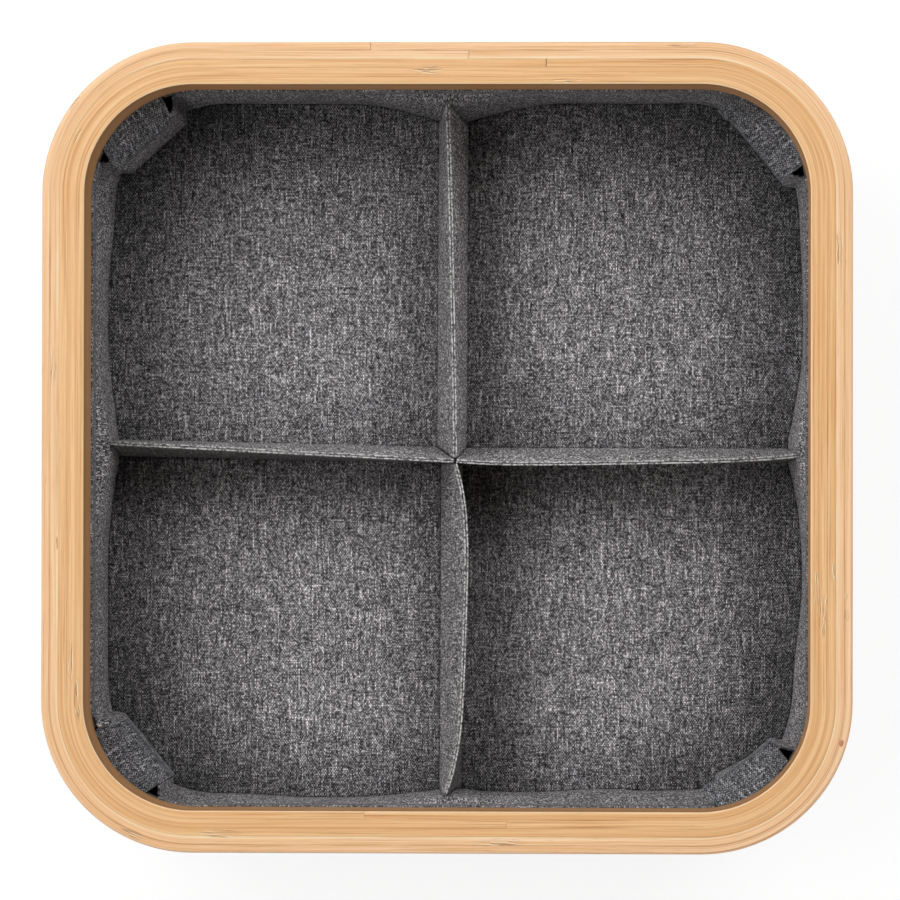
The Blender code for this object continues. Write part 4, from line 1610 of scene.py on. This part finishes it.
def fill_outline(
    name: str, outline: Sequence[Vector], cell: float, material: Material,
    lift: Callable[[Vector], float] | None = None,
) -> Piece:
    """Fill a flat outline with a sheet that is cut into cells, and lift its points.

    Args:
        name: The piece's name.
        outline: The points round the sheet.
        cell: The size of its cells.
        material: The cloth's finish.
        lift: Gives how far a point rises.

    Returns:
        The sheet, with a UV map in metres.
    """
    bm = bmesh.new()
    bm.faces.new([bm.verts.new(point) for point in outline])
    for axis in (0, 1):
        low = min(point[axis] for point in outline)
        high = max(point[axis] for point in outline)
        normal = Vector((1.0, 0.0, 0.0)) if axis == 0 else Vector((0.0, 1.0, 0.0))
        for step in range(1, int((high - low) / cell) + 1):
            geometry = bm.verts[:] + bm.edges[:] + bm.faces[:]
            place = normal * (low + step * cell)
            bmesh.ops.bisect_plane(bm, geom=geometry, dist=1e-6, plane_co=place, plane_no=normal)
    layer = bm.loops.layers.uv.new("cloth")
    for face in bm.faces:
        for loop in face.loops:
            loop[layer].uv = (loop.vert.co.x, loop.vert.co.y)
    if lift:
        for vert in bm.verts:
            vert.co.z += lift(vert.co)
    bmesh.ops.recalc_face_normals(bm, faces=bm.faces)
    return new_object(name, bm, material)


@dataclass
class Hems:
    """The hem of each side, folded over the wire and sewn down both faces of the wall."""

    form: BasketForm
    material: Material
    thread: Material
    stitch_rise: float = 0.0016
    stitch_stand: float = 0.00006
    stitch_steps: int = 90
    ripple: float = 0.0002
    inner_leg: float = 0.3
    cell: float = 0.0014

    def section(self, share: float) -> tuple[float, float]:
        """Return the offset and level at a share of the way round the fold, from the inside.

        Args:
            share: The share.

        Returns:
            The offset and the level.
        """
        form = self.form
        arc = math.pi * form.hem_middle
        run = share * (2 * form.hem_depth + arc)
        if run < form.hem_depth:
            return form.hoop_offset + form.hem_middle, form.hem_bottom + run
        if run > form.hem_depth + arc:
            return form.hoop_offset - form.hem_middle, form.hoop_level - (run - form.hem_depth - arc)
        angle = (run - form.hem_depth) / form.hem_middle
        return (form.hoop_offset + form.hem_middle * math.cos(angle),
                form.hoop_level + form.hem_middle * math.sin(angle))

    def build(self) -> None:
        """Build the four hems and their stitching."""
        form = self.form
        for side in Side:
            start = form.tab_centre(side.value - 1) + form.hem_start(side.value - 1)
            end = form.tab_centre(side.value) - form.hem_start(side.value)
            length = 2 * form.hem_depth + math.pi * form.hem_middle

            def where(run: float, share: float) -> Vector:
                """Return the place of a point of the hem.

                Args:
                    run: Its share of the width.
                    share: Its share of the length.

                Returns:
                    The place.
                """
                distance = blend(start, end, run)
                offset, level = self.section(share)
                ripple = self.ripple * noise.noise(Vector((distance * 60.0, level * 90.0, 2.2)))
                if share < self.inner_leg:
                    offset += abs(ripple)
                return form.ring_point(distance, offset, level)

            name = side.name.lower()
            cut = ClothCut(f"side_hem_{name}", end - start, length, form.cloth, self.cell)
            hem = place_piece(cut.bend(where, self.material), Slot.OUTER_CLOTH, [f"hem_{name}"])
            face = form.hem_middle + form.cloth / 2 + self.stitch_stand
            level = form.hem_bottom + self.stitch_rise
            steps = self.stitch_steps
            places = [blend(start, end, 0.005 + 0.99 * step / steps) for step in range(steps + 1)]
            rows = [
                [form.ring_point(place, offset, level) for place in places]
                for offset in (form.hoop_offset + face, form.hoop_offset - face)]
            seam = SeamRow(f"hem_stitching_{name}")
            place_piece(seam.sew(rows, self.thread), Slot.OUTER_CLOTH)


@dataclass(frozen=True)
class StrapShape:
    """How one corner's strap lies: further in than its panel, slid to one side, and spread at an end."""

    draw: float
    slide: float
    spread: float = 0.0
    taper: float = 0.0


@dataclass
class CornerTabs:
    """The strap across each rounded corner, from the wall's outside over the wire to the lining."""

    form: BasketForm
    material: Material
    thread: Material
    pad: float = 0.00035
    band: float = 0.0042
    hook_lift: float = 0.00078
    curl: float = 0.0012
    knee_drop: float = 0.0008
    knee_inset: float = 0.0006
    knee_rise: float = 0.0004
    turn_steps: int = 12
    hook_start: float = -0.0006
    ease_run: float = 0.0008
    slack: float = 0.0005
    stitch_inset: float = 0.0012
    stitch_stand: float = 0.00008
    cross_stitch: float = 0.0022
    end_gap: float = 0.001
    cross_lift: float = 0.0001
    stitch_steps: int = 30
    cell: float = 0.0009
    shapes: tuple[StrapShape, ...] = (
        StrapShape(0.0025, 0.0012, 0.0043), StrapShape(0.0011, 0.0031), StrapShape(0.0034, 0.0028, 0.0, 0.08),
        StrapShape(0.0015, -0.0006, -0.0043))

    def path(self, corner: Corner, across: float) -> list[Vector]:
        """Return the strap's line at a place across it, as distances inward from the wire and levels.

        Args:
            corner: The corner.
            across: The place across the strap.

        Returns:
            The line's points, from the inside.
        """
        form = self.form
        middle = form.hem_middle
        held = math.sqrt(form.hoop_radius**2 - across**2) - form.chord_radius + self.shapes[corner.value].draw
        knee = form.corner_top + form.fit + form.cloth
        upper = math.pi / 2 - math.atan2(form.hoop_level - knee, held)
        low = form.corner_top - form.tab_leg
        points = [
            Vector((held + middle, low)),
            Vector((held + middle, knee - self.knee_drop + middle * math.sin(upper) / 2)),
            Vector((held + middle - self.knee_inset, knee + middle * math.sin(upper) / 2 + self.knee_rise))]
        for step in range(self.turn_steps + 1):
            angle = blend(upper, math.pi, step / self.turn_steps)
            points.append(Vector((middle * math.cos(angle), form.hoop_level + middle * math.sin(angle))))
        points.append(Vector((-middle, low)))
        return points

    @staticmethod
    def walk(points: Sequence[Vector], share: float) -> tuple[Vector, Vector]:
        """Return the place and the direction at a share of the length of a line.

        Args:
            points: The line's points.
            share: The share of its length.

        Returns:
            The place and the direction.
        """
        lengths = [(end - start).length for start, end in zip(points, points[1:])]
        run = share * sum(lengths)
        for start, end, length in zip(points, points[1:], lengths):
            if run <= length or end is points[-1]:
                return start.lerp(end, min(1.0, run / length)), (end - start).normalized()
            run -= length
        return points[-1], (points[-1] - points[-2]).normalized()

    def point(self, corner: Corner, across: float, share: float, lift: float) -> Vector:
        """Return a place on a tab, lifted off its face.

        Args:
            corner: The corner.
            across: The place across the strap.
            share: The share of its length.
            lift: How far off the middle of the cloth.

        Returns:
            The place.
        """
        shape = self.shapes[corner.value]
        points = self.path(corner, across)
        place, direction = self.walk(points, share)
        normal = Vector((direction.y, -direction.x))
        place = place + normal * lift
        inner = max(0.0, place.x / points[0].x) ** 2
        slide = inner * (shape.slide - shape.taper * across)
        return self.form.corner_point(corner.value, across, place.x, place.y, slide)

    def ends(self, corner: Corner, share: float) -> tuple[float, float]:
        """Return the two side edges of a strap at a share of its length.

        Args:
            corner: The corner.
            share: The share of the length, from the inside.

        Returns:
            How far across the clockwise and the anticlockwise edge stand. A spread end covers its clip on the
            inside, and draws back under the rim.
        """
        half = self.form.tab_half(corner.value)
        spread = self.shapes[corner.value].spread
        points = self.path(corner, half + abs(spread) / 2)
        over = 1 - ease((share * line_length(points) - line_length(points[:4])) / self.curl)
        return -half + min(0.0, spread) * over, half + max(0.0, spread) * over

    def over_hook(self, corner: Corner, across: float) -> float:
        """Return how far a spread end is lifted off its clip at a place across it."""
        beyond = abs(across) - self.form.tab_half(corner.value)
        return self.hook_lift * ease((beyond - self.hook_start) / self.ease_run)

    def build(self) -> None:
        """Build each tab with its folded ends and its stitching."""
        form = self.form
        for corner in Corner:
            half = form.tab_half(corner.value)
            points = self.path(corner, 0.0)
            length = line_length(points)
            spread = self.shapes[corner.value].spread

            def where(run: float, share: float) -> Vector:
                """Return the place of a point of the strap.

                Args:
                    run: Its share of the width.
                    share: Its share of the length.

                Returns:
                    The place.
                """
                low, high = self.ends(corner, share)
                across = blend(low, high, run)
                fold = 1 - ease((min(across - low, high - across) - self.band) / self.ease_run)
                slack = self.slack * noise.noise(Vector((across * 130.0, share * 5.0, corner.value * 4.0)))
                lift = self.pad * fold + max(0.0, slack) * math.sin(math.pi * min(1.0, share * 1.6))
                if spread and across * spread > 0:
                    lift += self.over_hook(corner, across)
                return self.point(corner, across, share, lift)

            name = corner.name.lower()
            cut = ClothCut(f"corner_strap_{name}", 2 * half + abs(spread), length, form.cloth, self.cell)
            strap = place_piece(cut.bend(where, self.material), Slot.OUTER_CLOTH, [f"corner_tab_{name}"])
            rows = []
            lift = form.cloth / 2 + self.stitch_stand
            low, high = self.ends(corner, 0.0)
            steps = self.stitch_steps
            inset = self.stitch_inset
            for across in (low + self.band - inset, high - self.band + inset):
                rows.append([
                    self.point(corner, across, 0.05 + 0.55 * step / steps, lift + self.pad)
                    for step in range(steps + 1)])
            knee = (points[1] - points[0]).length / length + self.cross_stitch / length
            low, high = low + self.end_gap, high - self.end_gap
            lift += self.cross_lift
            rows.append([
                self.point(corner, blend(low, high, step / steps), knee, lift) for step in range(steps + 1)])
            seam = SeamRow(f"strap_stitching_{name}", spacing=0.0024, length=0.0017, thread=0.00036)
            place_piece(seam.sew(rows, self.thread), Slot.OUTER_CLOTH)


@dataclass
class PocketLining:
    """The four pockets of the lining: their walls, their floors and the dividers between them."""

    form: BasketForm
    lining: LiningForm
    wall_material: Material
    floor_material: Material
    leaf_materials: dict[Light, Material]
    thread: Material
    seam_gap: float = 0.00003
    floor_tuck: float = 0.00012
    # Painted shade and painted light: the shaded leaves take a darker copy of the same cloth, and the lit
    # leaves a paler one.
    shaded_leaves: tuple[tuple[Side, int], ...] = ((Side.LEFT, -1), (Side.RIGHT, -1), (Side.FRONT, 1))
    lit_leaves: tuple[tuple[Side, int], ...] = ((Side.BACK, 1), (Side.LEFT, 1), (Side.RIGHT, 1))
    floor_slack: float = 0.0012
    floor_margin: float = 0.0060
    floor_crease: float = 0.0004
    loose_from: float = 0.016
    seam_rise: float = 0.0007
    wall_steps: int = 150
    leaf_clear: float = 0.001
    leaf_slack: float = 0.0009
    stitch_drop: float = 0.0022
    stitch_stand: float = 0.00005
    stitch_steps: int = 60
    wall_cell: float = 0.0016
    wall_cell_width: float = 0.0007
    floor_cell: float = 0.0024
    leaf_cell: float = 0.0017

    def build_walls(self) -> None:
        """Build each pocket's wall, from one divider round the corner to the next."""
        form = self.form
        for corner in Corner:
            start = corner.value * form.side_length + self.seam_gap
            end = start + form.side_length - 2 * self.seam_gap

            def where(run: float, rise: float) -> Vector:
                """Return the place of a point of the pocket's wall.

                Args:
                    run: Its share of the width.
                    rise: Its share of the height.

                Returns:
                    The place.
                """
                distance = blend(start, end, run)
                level = blend(form.lining_bottom, self.lining.top(distance), rise)
                return form.ring_point(distance, self.lining.offset(distance, level), level)

            name = corner.name.lower()
            height = form.wall_top - form.lining_bottom
            cells = self.wall_cell, self.wall_cell_width
            cut = ClothCut(f"lining_wall_{name}", form.side_length, height, form.cloth, *cells)
            wall = cut.bend(where, self.wall_material)
            place_piece(wall, Slot.LINING_CLOTH, [f"pocket_wall_{name}"])

    def floor_outline(self, corner: Corner) -> list[Vector]:
        """Return the points round a pocket's floor, inside its wall and its two leaves.

        Args:
            corner: The pocket's corner.

        Returns:
            The points, from the crossing on.
        """
        form = self.form
        right = 1 if corner in (Corner.BACK_RIGHT, Corner.FRONT_RIGHT) else -1
        back = 1 if corner in (Corner.BACK_RIGHT, Corner.BACK_LEFT) else -1
        x_side = Side.RIGHT if right > 0 else Side.LEFT
        y_side = Side.BACK if back > 0 else Side.FRONT
        level = form.lining_bottom + form.cloth / 2
        x_near = form.leaf_face(y_side, right, 0.0, 0.0) - right * self.floor_tuck
        y_near = form.leaf_face(x_side, back, 0.0, 0.0) - back * self.floor_tuck
        x_leaf = form.leaf_face(y_side, right, 1.0, 0.0) - right * self.floor_tuck
        y_leaf = form.leaf_face(x_side, back, 1.0, 0.0) - back * self.floor_tuck
        x_wall = right * (self.lining.face(x_side, y_leaf, level) - self.seam_gap)
        y_wall = back * (self.lining.face(y_side, x_leaf, level) - self.seam_gap)
        ends = [Vector((x_wall, y_leaf, level)), Vector((x_leaf, y_wall, level))]
        if right * back < 0:
            ends.reverse()
        wall = []
        start = corner.value * form.side_length
        for step in range(1, self.wall_steps):
            distance = start + form.side_length * step / self.wall_steps
            inset = self.lining.offset(distance, level) + form.cloth / 2 + self.seam_gap
            point = form.ring_point(distance, inset, level)
            if min((point.x - x_leaf) * right, (point.y - y_leaf) * back) > self.leaf_clear:
                wall.append(point)
        return [Vector((x_near, y_near, level)), ends[0], *wall, ends[1]]

    def build_floors(self) -> None:
        """Build each pocket's floor, loose over the board and turned up a little at its seams."""
        for corner in Corner:
            outline = self.floor_outline(corner)
            seed = 2.9 * corner.value

            def lift(place: Vector) -> float:
                """Return how far the loose floor rises at a place.

                Args:
                    place: The place.

                Returns:
                    The rise.
                """
                edge = min((place - point).length for point in outline)
                edge = min(edge, abs(place.x - outline[0].x), abs(place.y - outline[0].y))
                inside = ease(edge / self.loose_from)
                swell = 0.5 + 0.5 * noise.noise(Vector((place.x * 26.0, place.y * 26.0, seed)))
                crease = noise.noise(
                    Vector(((place.x + place.y) * 60.0, (place.x - place.y) * 14.0, seed + 7.0)))
                near_seam = max(0.0, 1 - edge / self.floor_margin)
                rise = self.floor_slack * swell * swell * inside + self.seam_rise * near_seam * near_seam
                return rise + self.floor_crease * max(0.0, crease) * inside

            name = corner.name.lower()
            item = fill_outline(f"lining_floor_{name}", outline, self.floor_cell, self.floor_material, lift)
            thicken_cloth(item, self.form.cloth)
            place_piece(item, Slot.LINING_CLOTH, [f"pocket_floor_{name}"])

    def leaf_light(self, side: Side, hand: int) -> Light:
        """Return which painted light or shade a leaf's cloth carries.

        Args:
            side: The side at which the divider ends.
            hand: Which leaf, 1 or -1 along the sideways axis.

        Returns:
            Its light.
        """
        if (side, hand) in self.shaded_leaves:
            return Light.SHADED
        return Light.LIT if (side, hand) in self.lit_leaves else Light.PLAIN

    def leaf_point(self, side: Side, hand: int, run: float, height: float, lift: float) -> Vector:
        """Return a place on a divider's leaf.

        Args:
            side: The side at which the divider ends.
            hand: Which leaf, 1 or -1 along the sideways axis.
            run: The share of the way from the crossing to the wall.
            height: The share of the way from the floor to the top edge.
            lift: How far off the middle of the cloth, toward the pocket.

        Returns:
            The place.
        """
        form = self.form
        level = blend(form.lining_bottom, form.divider_top, height)
        if side.runs_along_x:
            cross = Side.BACK if hand > 0 else Side.FRONT
            start = form.leaf_face(cross, side.outward, 0.0, height) - side.outward * form.leaf / 2
        else:
            cross = Side.RIGHT if hand > 0 else Side.LEFT
            start = form.leaf_face(cross, side.outward, 0.0, height) + side.outward * form.fit
        face = form.leaf_face(side, hand, 1.0, height) - hand * form.leaf / 2
        end = side.outward * (self.lining.face(side, face, level) - form.fit)
        puff = math.sin(math.pi * height) * math.sin(math.pi * run)
        wave = self.leaf_slack * noise.noise(Vector((run * 4.2, height * 2.4, side.value * 3.0 + hand)))
        sideways = form.leaf_face(side, hand, run, height) - hand * form.leaf / 2
        sideways += hand * (abs(wave) * puff + lift)
        forward = blend(start, end, run)
        return Vector((forward, sideways, level) if side.runs_along_x else (sideways, forward, level))

    def build_dividers(self) -> None:
        """Build the two leaves of each divider and the row of stitches under its top edges."""
        form = self.form
        length = form.divider_top - form.lining_bottom
        lift = form.leaf / 2 + self.stitch_stand
        for side in Side:
            side_name = side.name.lower()
            hands = {-1: "front", 1: "back"} if side.runs_along_x else {-1: "left", 1: "right"}
            rows = []
            for hand, hand_name in hands.items():

                def where(run: float, rise: float) -> Vector:
                    """Return the place of a point of the leaf."""
                    return self.leaf_point(side, hand, run, rise, 0.0)

                width = form.rim_width / 2 - form.lining_offset
                name = f"divider_leaf_{side_name}_{hand_name}"
                cut = ClothCut(name, width, length, form.leaf, self.leaf_cell)
                node = f"divider_{side_name}_leaf_{hand_name}"
                cloth = self.leaf_materials[self.leaf_light(side, hand)]
                leaf = place_piece(cut.bend(where, cloth), Slot.LINING_CLOTH, [node])
                runs = [blend(0.02, 0.985, step / self.stitch_steps) for step in range(self.stitch_steps + 1)]
                height = 1 - self.stitch_drop / length
                rows.append([self.leaf_point(side, hand, run, height, lift) for run in runs])
            seam = SeamRow(f"divider_stitching_{side_name}", spacing=0.0026, length=0.0018, thread=0.00034)
            place_piece(seam.sew(rows, self.thread), Slot.LINING_CLOTH)

    def build(self) -> None:
        """Build the whole lining."""
        self.build_walls()
        self.build_floors()
        self.build_dividers()


@dataclass(frozen=True)
class HardParts:
    """The pieces of the model that keep their own shape: the wire, its clips and screws, and the boards."""

    def dress(self) -> None:
        """Give each carried-over node its finish."""
        black = SteelFinish("black_painted_steel", (0.028, 0.028, 0.030), roughness=0.42, metallic=0.0).make()
        zinc = SteelFinish("dull_zinc_plated_steel", (0.20, 0.20, 0.21), roughness=0.55, metallic=1.0).make()
        board = BoardFinish().make()
        for name, item in frame["nodes"].items():
            if name.startswith(("wire_hoop", "hoop_clip")):
                material = black
            elif name.startswith("clip_screw"):
                material = zinc
            elif name.startswith(("wall_board", "base_board")):
                material = board
            else:
                continue
            item.data.materials.clear()
            item.data.materials.append(material)
            log.info("dressed %s", name)


@dataclass(frozen=True)
class Softbox:
    """A round soft lamp aimed at the organizer, and the share of the plain level that it gives."""

    name: str
    azimuth: float
    polar: float
    share: float
    distance: float = 2.4
    size: float = 1.35

    def hang(self) -> None:
        """Hang the lamp."""
        light = bpy.data.lights.new(self.name, "AREA")
        light.shape = "DISK"
        light.size = self.size
        light.energy = math.pi**2 * self.share * self.distance**2
        lamp = add_object(self.name, light)
        polar, azimuth = math.radians(self.polar), math.radians(self.azimuth)
        flat = math.sin(polar)
        way = Vector((flat * math.cos(azimuth), flat * math.sin(azimuth), math.cos(polar)))
        lamp.location = Vector((0.0, 0.0, 0.1)) + way * self.distance
        lamp.rotation_euler = way.to_track_quat("Z", "Y").to_euler()


@dataclass(frozen=True)
class Studio:
    """The floor, the light and the camera, which stands almost straight above the organizer."""

    camera_place: tuple[float, float, float] = (0.0687, -0.0231, 2.206)
    target: tuple[float, float, float] = (0.00137, -0.00092, 0.106)
    roll: float = 0.1
    lens: float = 227.5
    lamps: tuple[Softbox, ...] = (
        Softbox("softbox_back_right", 45.0, 37.0, 0.33),
        Softbox("softbox_back_left", 135.0, 37.0, 0.32),
        Softbox("softbox_overhead", 178.0, 24.0, 0.24),
        Softbox("softbox_left", 184.0, 58.0, 0.05),
    )
    horizon: float = 0.68
    zenith: float = 0.04
    haze_start: float = 0.30
    haze_end: float = 0.75
    floor_half: float = 3.0
    floor_drop: float = 0.0003
    floor_tone: float = 0.80
    seen_glow: float = 0.84
    seen_tone: float = 0.26

    def build_camera(self) -> None:
        """Place the camera at the photograph's viewing angle."""
        lens = bpy.data.cameras.new("view_from_above")
        lens.lens = self.lens
        lens.sensor_width = 36.0
        lens.clip_end = 30.0
        camera = add_object("view_from_above", lens)
        place = Vector(self.camera_place)
        forward = (Vector(self.target) - place).normalized()
        right = forward.cross(Vector((0.0, 1.0, 0.0))).normalized()
        up = right.cross(forward)
        turn = Matrix((right, up, -forward)).transposed().to_4x4()
        turn.translation = place
        camera.matrix_world = turn @ Matrix.Rotation(math.radians(self.roll), 4, "Z")
        bpy.context.scene.camera = camera

    def build_light(self) -> None:
        """Hang the lamps and light the air, which is brighter toward the horizon, as in a pale studio."""
        for lamp in self.lamps:
            lamp.hang()
        world = bpy.data.worlds.new("pale_studio")
        bpy.context.scene.world = world
        sheet = NodeSheet(world)
        parts = sheet.add("SeparateXYZ", sheet.add("TexCoord").outputs["Generated"])
        rise = sheet.add(
            "MapRange", parts.outputs[2], self.haze_start, self.haze_end, self.horizon, self.zenith)
        rise.interpolation_type = "SMOOTHSTEP"
        strength = sheet.add("Mix", self.seen_directly(sheet))
        sheet.feed(strength.inputs[2], rise.outputs[0])
        sheet.feed(strength.inputs[3], 1.0)
        sheet.feed(sheet.shader.inputs["Color"], WHITE)
        sheet.feed(sheet.shader.inputs["Strength"], strength.outputs[0])

    @staticmethod
    def seen_directly(sheet: NodeSheet) -> Socket:
        """Return a socket that is 1 for rays from the camera, a reflection or clear matter.

        Args:
            sheet: The nodes that it joins.

        Returns:
            The socket.
        """
        rays = sheet.add("LightPath").outputs
        plain = sheet.maths("MAXIMUM", rays["Is Camera Ray"], rays["Is Glossy Ray"])
        return sheet.maths("MAXIMUM", plain, rays["Is Transmission Ray"])

    def build_floor(self) -> None:
        """Lay the pale floor just under the organizer, so that it looks white and keeps the shadow."""
        bm = bmesh.new()
        low = Matrix.Translation((0.0, 0.0, -self.floor_drop))
        bmesh.ops.create_grid(bm, x_segments=1, y_segments=1, size=self.floor_half, matrix=low)
        sheet = NodeSheet(bpy.data.materials.new("pale_floor"))
        material = sheet.finish((self.floor_tone,) * 3, 0.9)
        glow = sheet.add("Emission", WHITE, self.seen_glow)
        faint = sheet.add("BsdfDiffuse", (self.seen_tone,) * 3)
        both = sheet.add("AddShader", glow.outputs[0], faint.outputs[0])
        seen = self.seen_directly(sheet)
        choice = sheet.add("MixShader", seen, sheet.shader.outputs[0], both.outputs[0])
        sheet.feed(sheet.tree.nodes["Material Output"].inputs["Surface"], choice.outputs[0])
        new_object("floor", bm, material)

    def build(self) -> None:
        """Build the whole studio."""
        self.build_camera()
        self.build_light()
        self.build_floor()
        bpy.context.scene.view_settings.view_transform = "Standard"


def main() -> None:
    """Build the organizer's finished pieces in order, then the studio round them."""
    logging.basicConfig(level=logging.INFO, format="%(name)s: %(message)s")
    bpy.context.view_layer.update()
    form = BasketForm()
    leaf_top = form.divider_top - form.lining_bottom
    shades = (
        EdgeShade(Reach.WALL, 0.100, 0.132, 0.56), EdgeShade(Reach.DIVIDER, 0.027, 0.005, 0.70),
        EdgeShade(Reach.CORNER, 0.180, 0.232, 0.58), EdgeShade(Reach.RIGHT, 0.085, 0.128, 0.80),
        EdgeShade(Reach.CROSSING, -0.130, -0.085, 0.86), EdgeShade(Reach.FRONT_DIVIDER, -0.050, -0.022, 0.86))
    wall_shades = (
        EdgeShade(Reach.BACK, 0.116, 0.126, 0.86), EdgeShade(Reach.TAB_END, -0.0060, -0.0032, 0.40))
    floor_cloth = MelangeFinish("floor_melange", shade=0.305, speck=1.0, shades=shades).make()
    # Painted light and shade: three copies of the divider cloth, darker for the shaded leaves and paler for
    # the lit ones; each also carries the painted highlight along its top edge.
    painted_light_leaf_cloths = {
        light: MelangeFinish(
            f"leaf_melange_{light.value}", shade=shade, speck=1.1, tuft=0.4, pale_edge=leaf_top).make()
        for light, shade in ((Light.SHADED, 0.145), (Light.PLAIN, 0.33), (Light.LIT, 0.41))}
    wall_cloth = MelangeFinish(
        "wall_melange", shade=0.285, warp_share=0.30, speck=1.30, tuft=0.6, shades=wall_shades).make()
    outer_cloth = MelangeFinish("outer_melange", shade=0.20).make()
    hem_cloth = MelangeFinish("hem_melange", shade=0.20, speck=1.0, tuft=1.2).make()
    # Painted shade: the straps take a darker, slightly bluer copy of the outer cloth.
    strap_painted_shade_cloth = MelangeFinish("strap_painted_shade_melange", shade=0.152, tint=(0.97, 1.01, 1.11)).make()
    thread = ThreadFinish().make()
    BambooRim(form).build()
    outer = OuterBasket(form, outer_cloth)
    outer.build_wall()
    outer.build_bottom()
    Hems(form, hem_cloth, thread).build()
    CornerTabs(form, strap_painted_shade_cloth, thread).build()
    PocketLining(form, LiningForm(form), wall_cloth, floor_cloth, painted_light_leaf_cloths, thread).build()
    HardParts().dress()
    Studio().build()


if __name__ == "__main__":
    main()
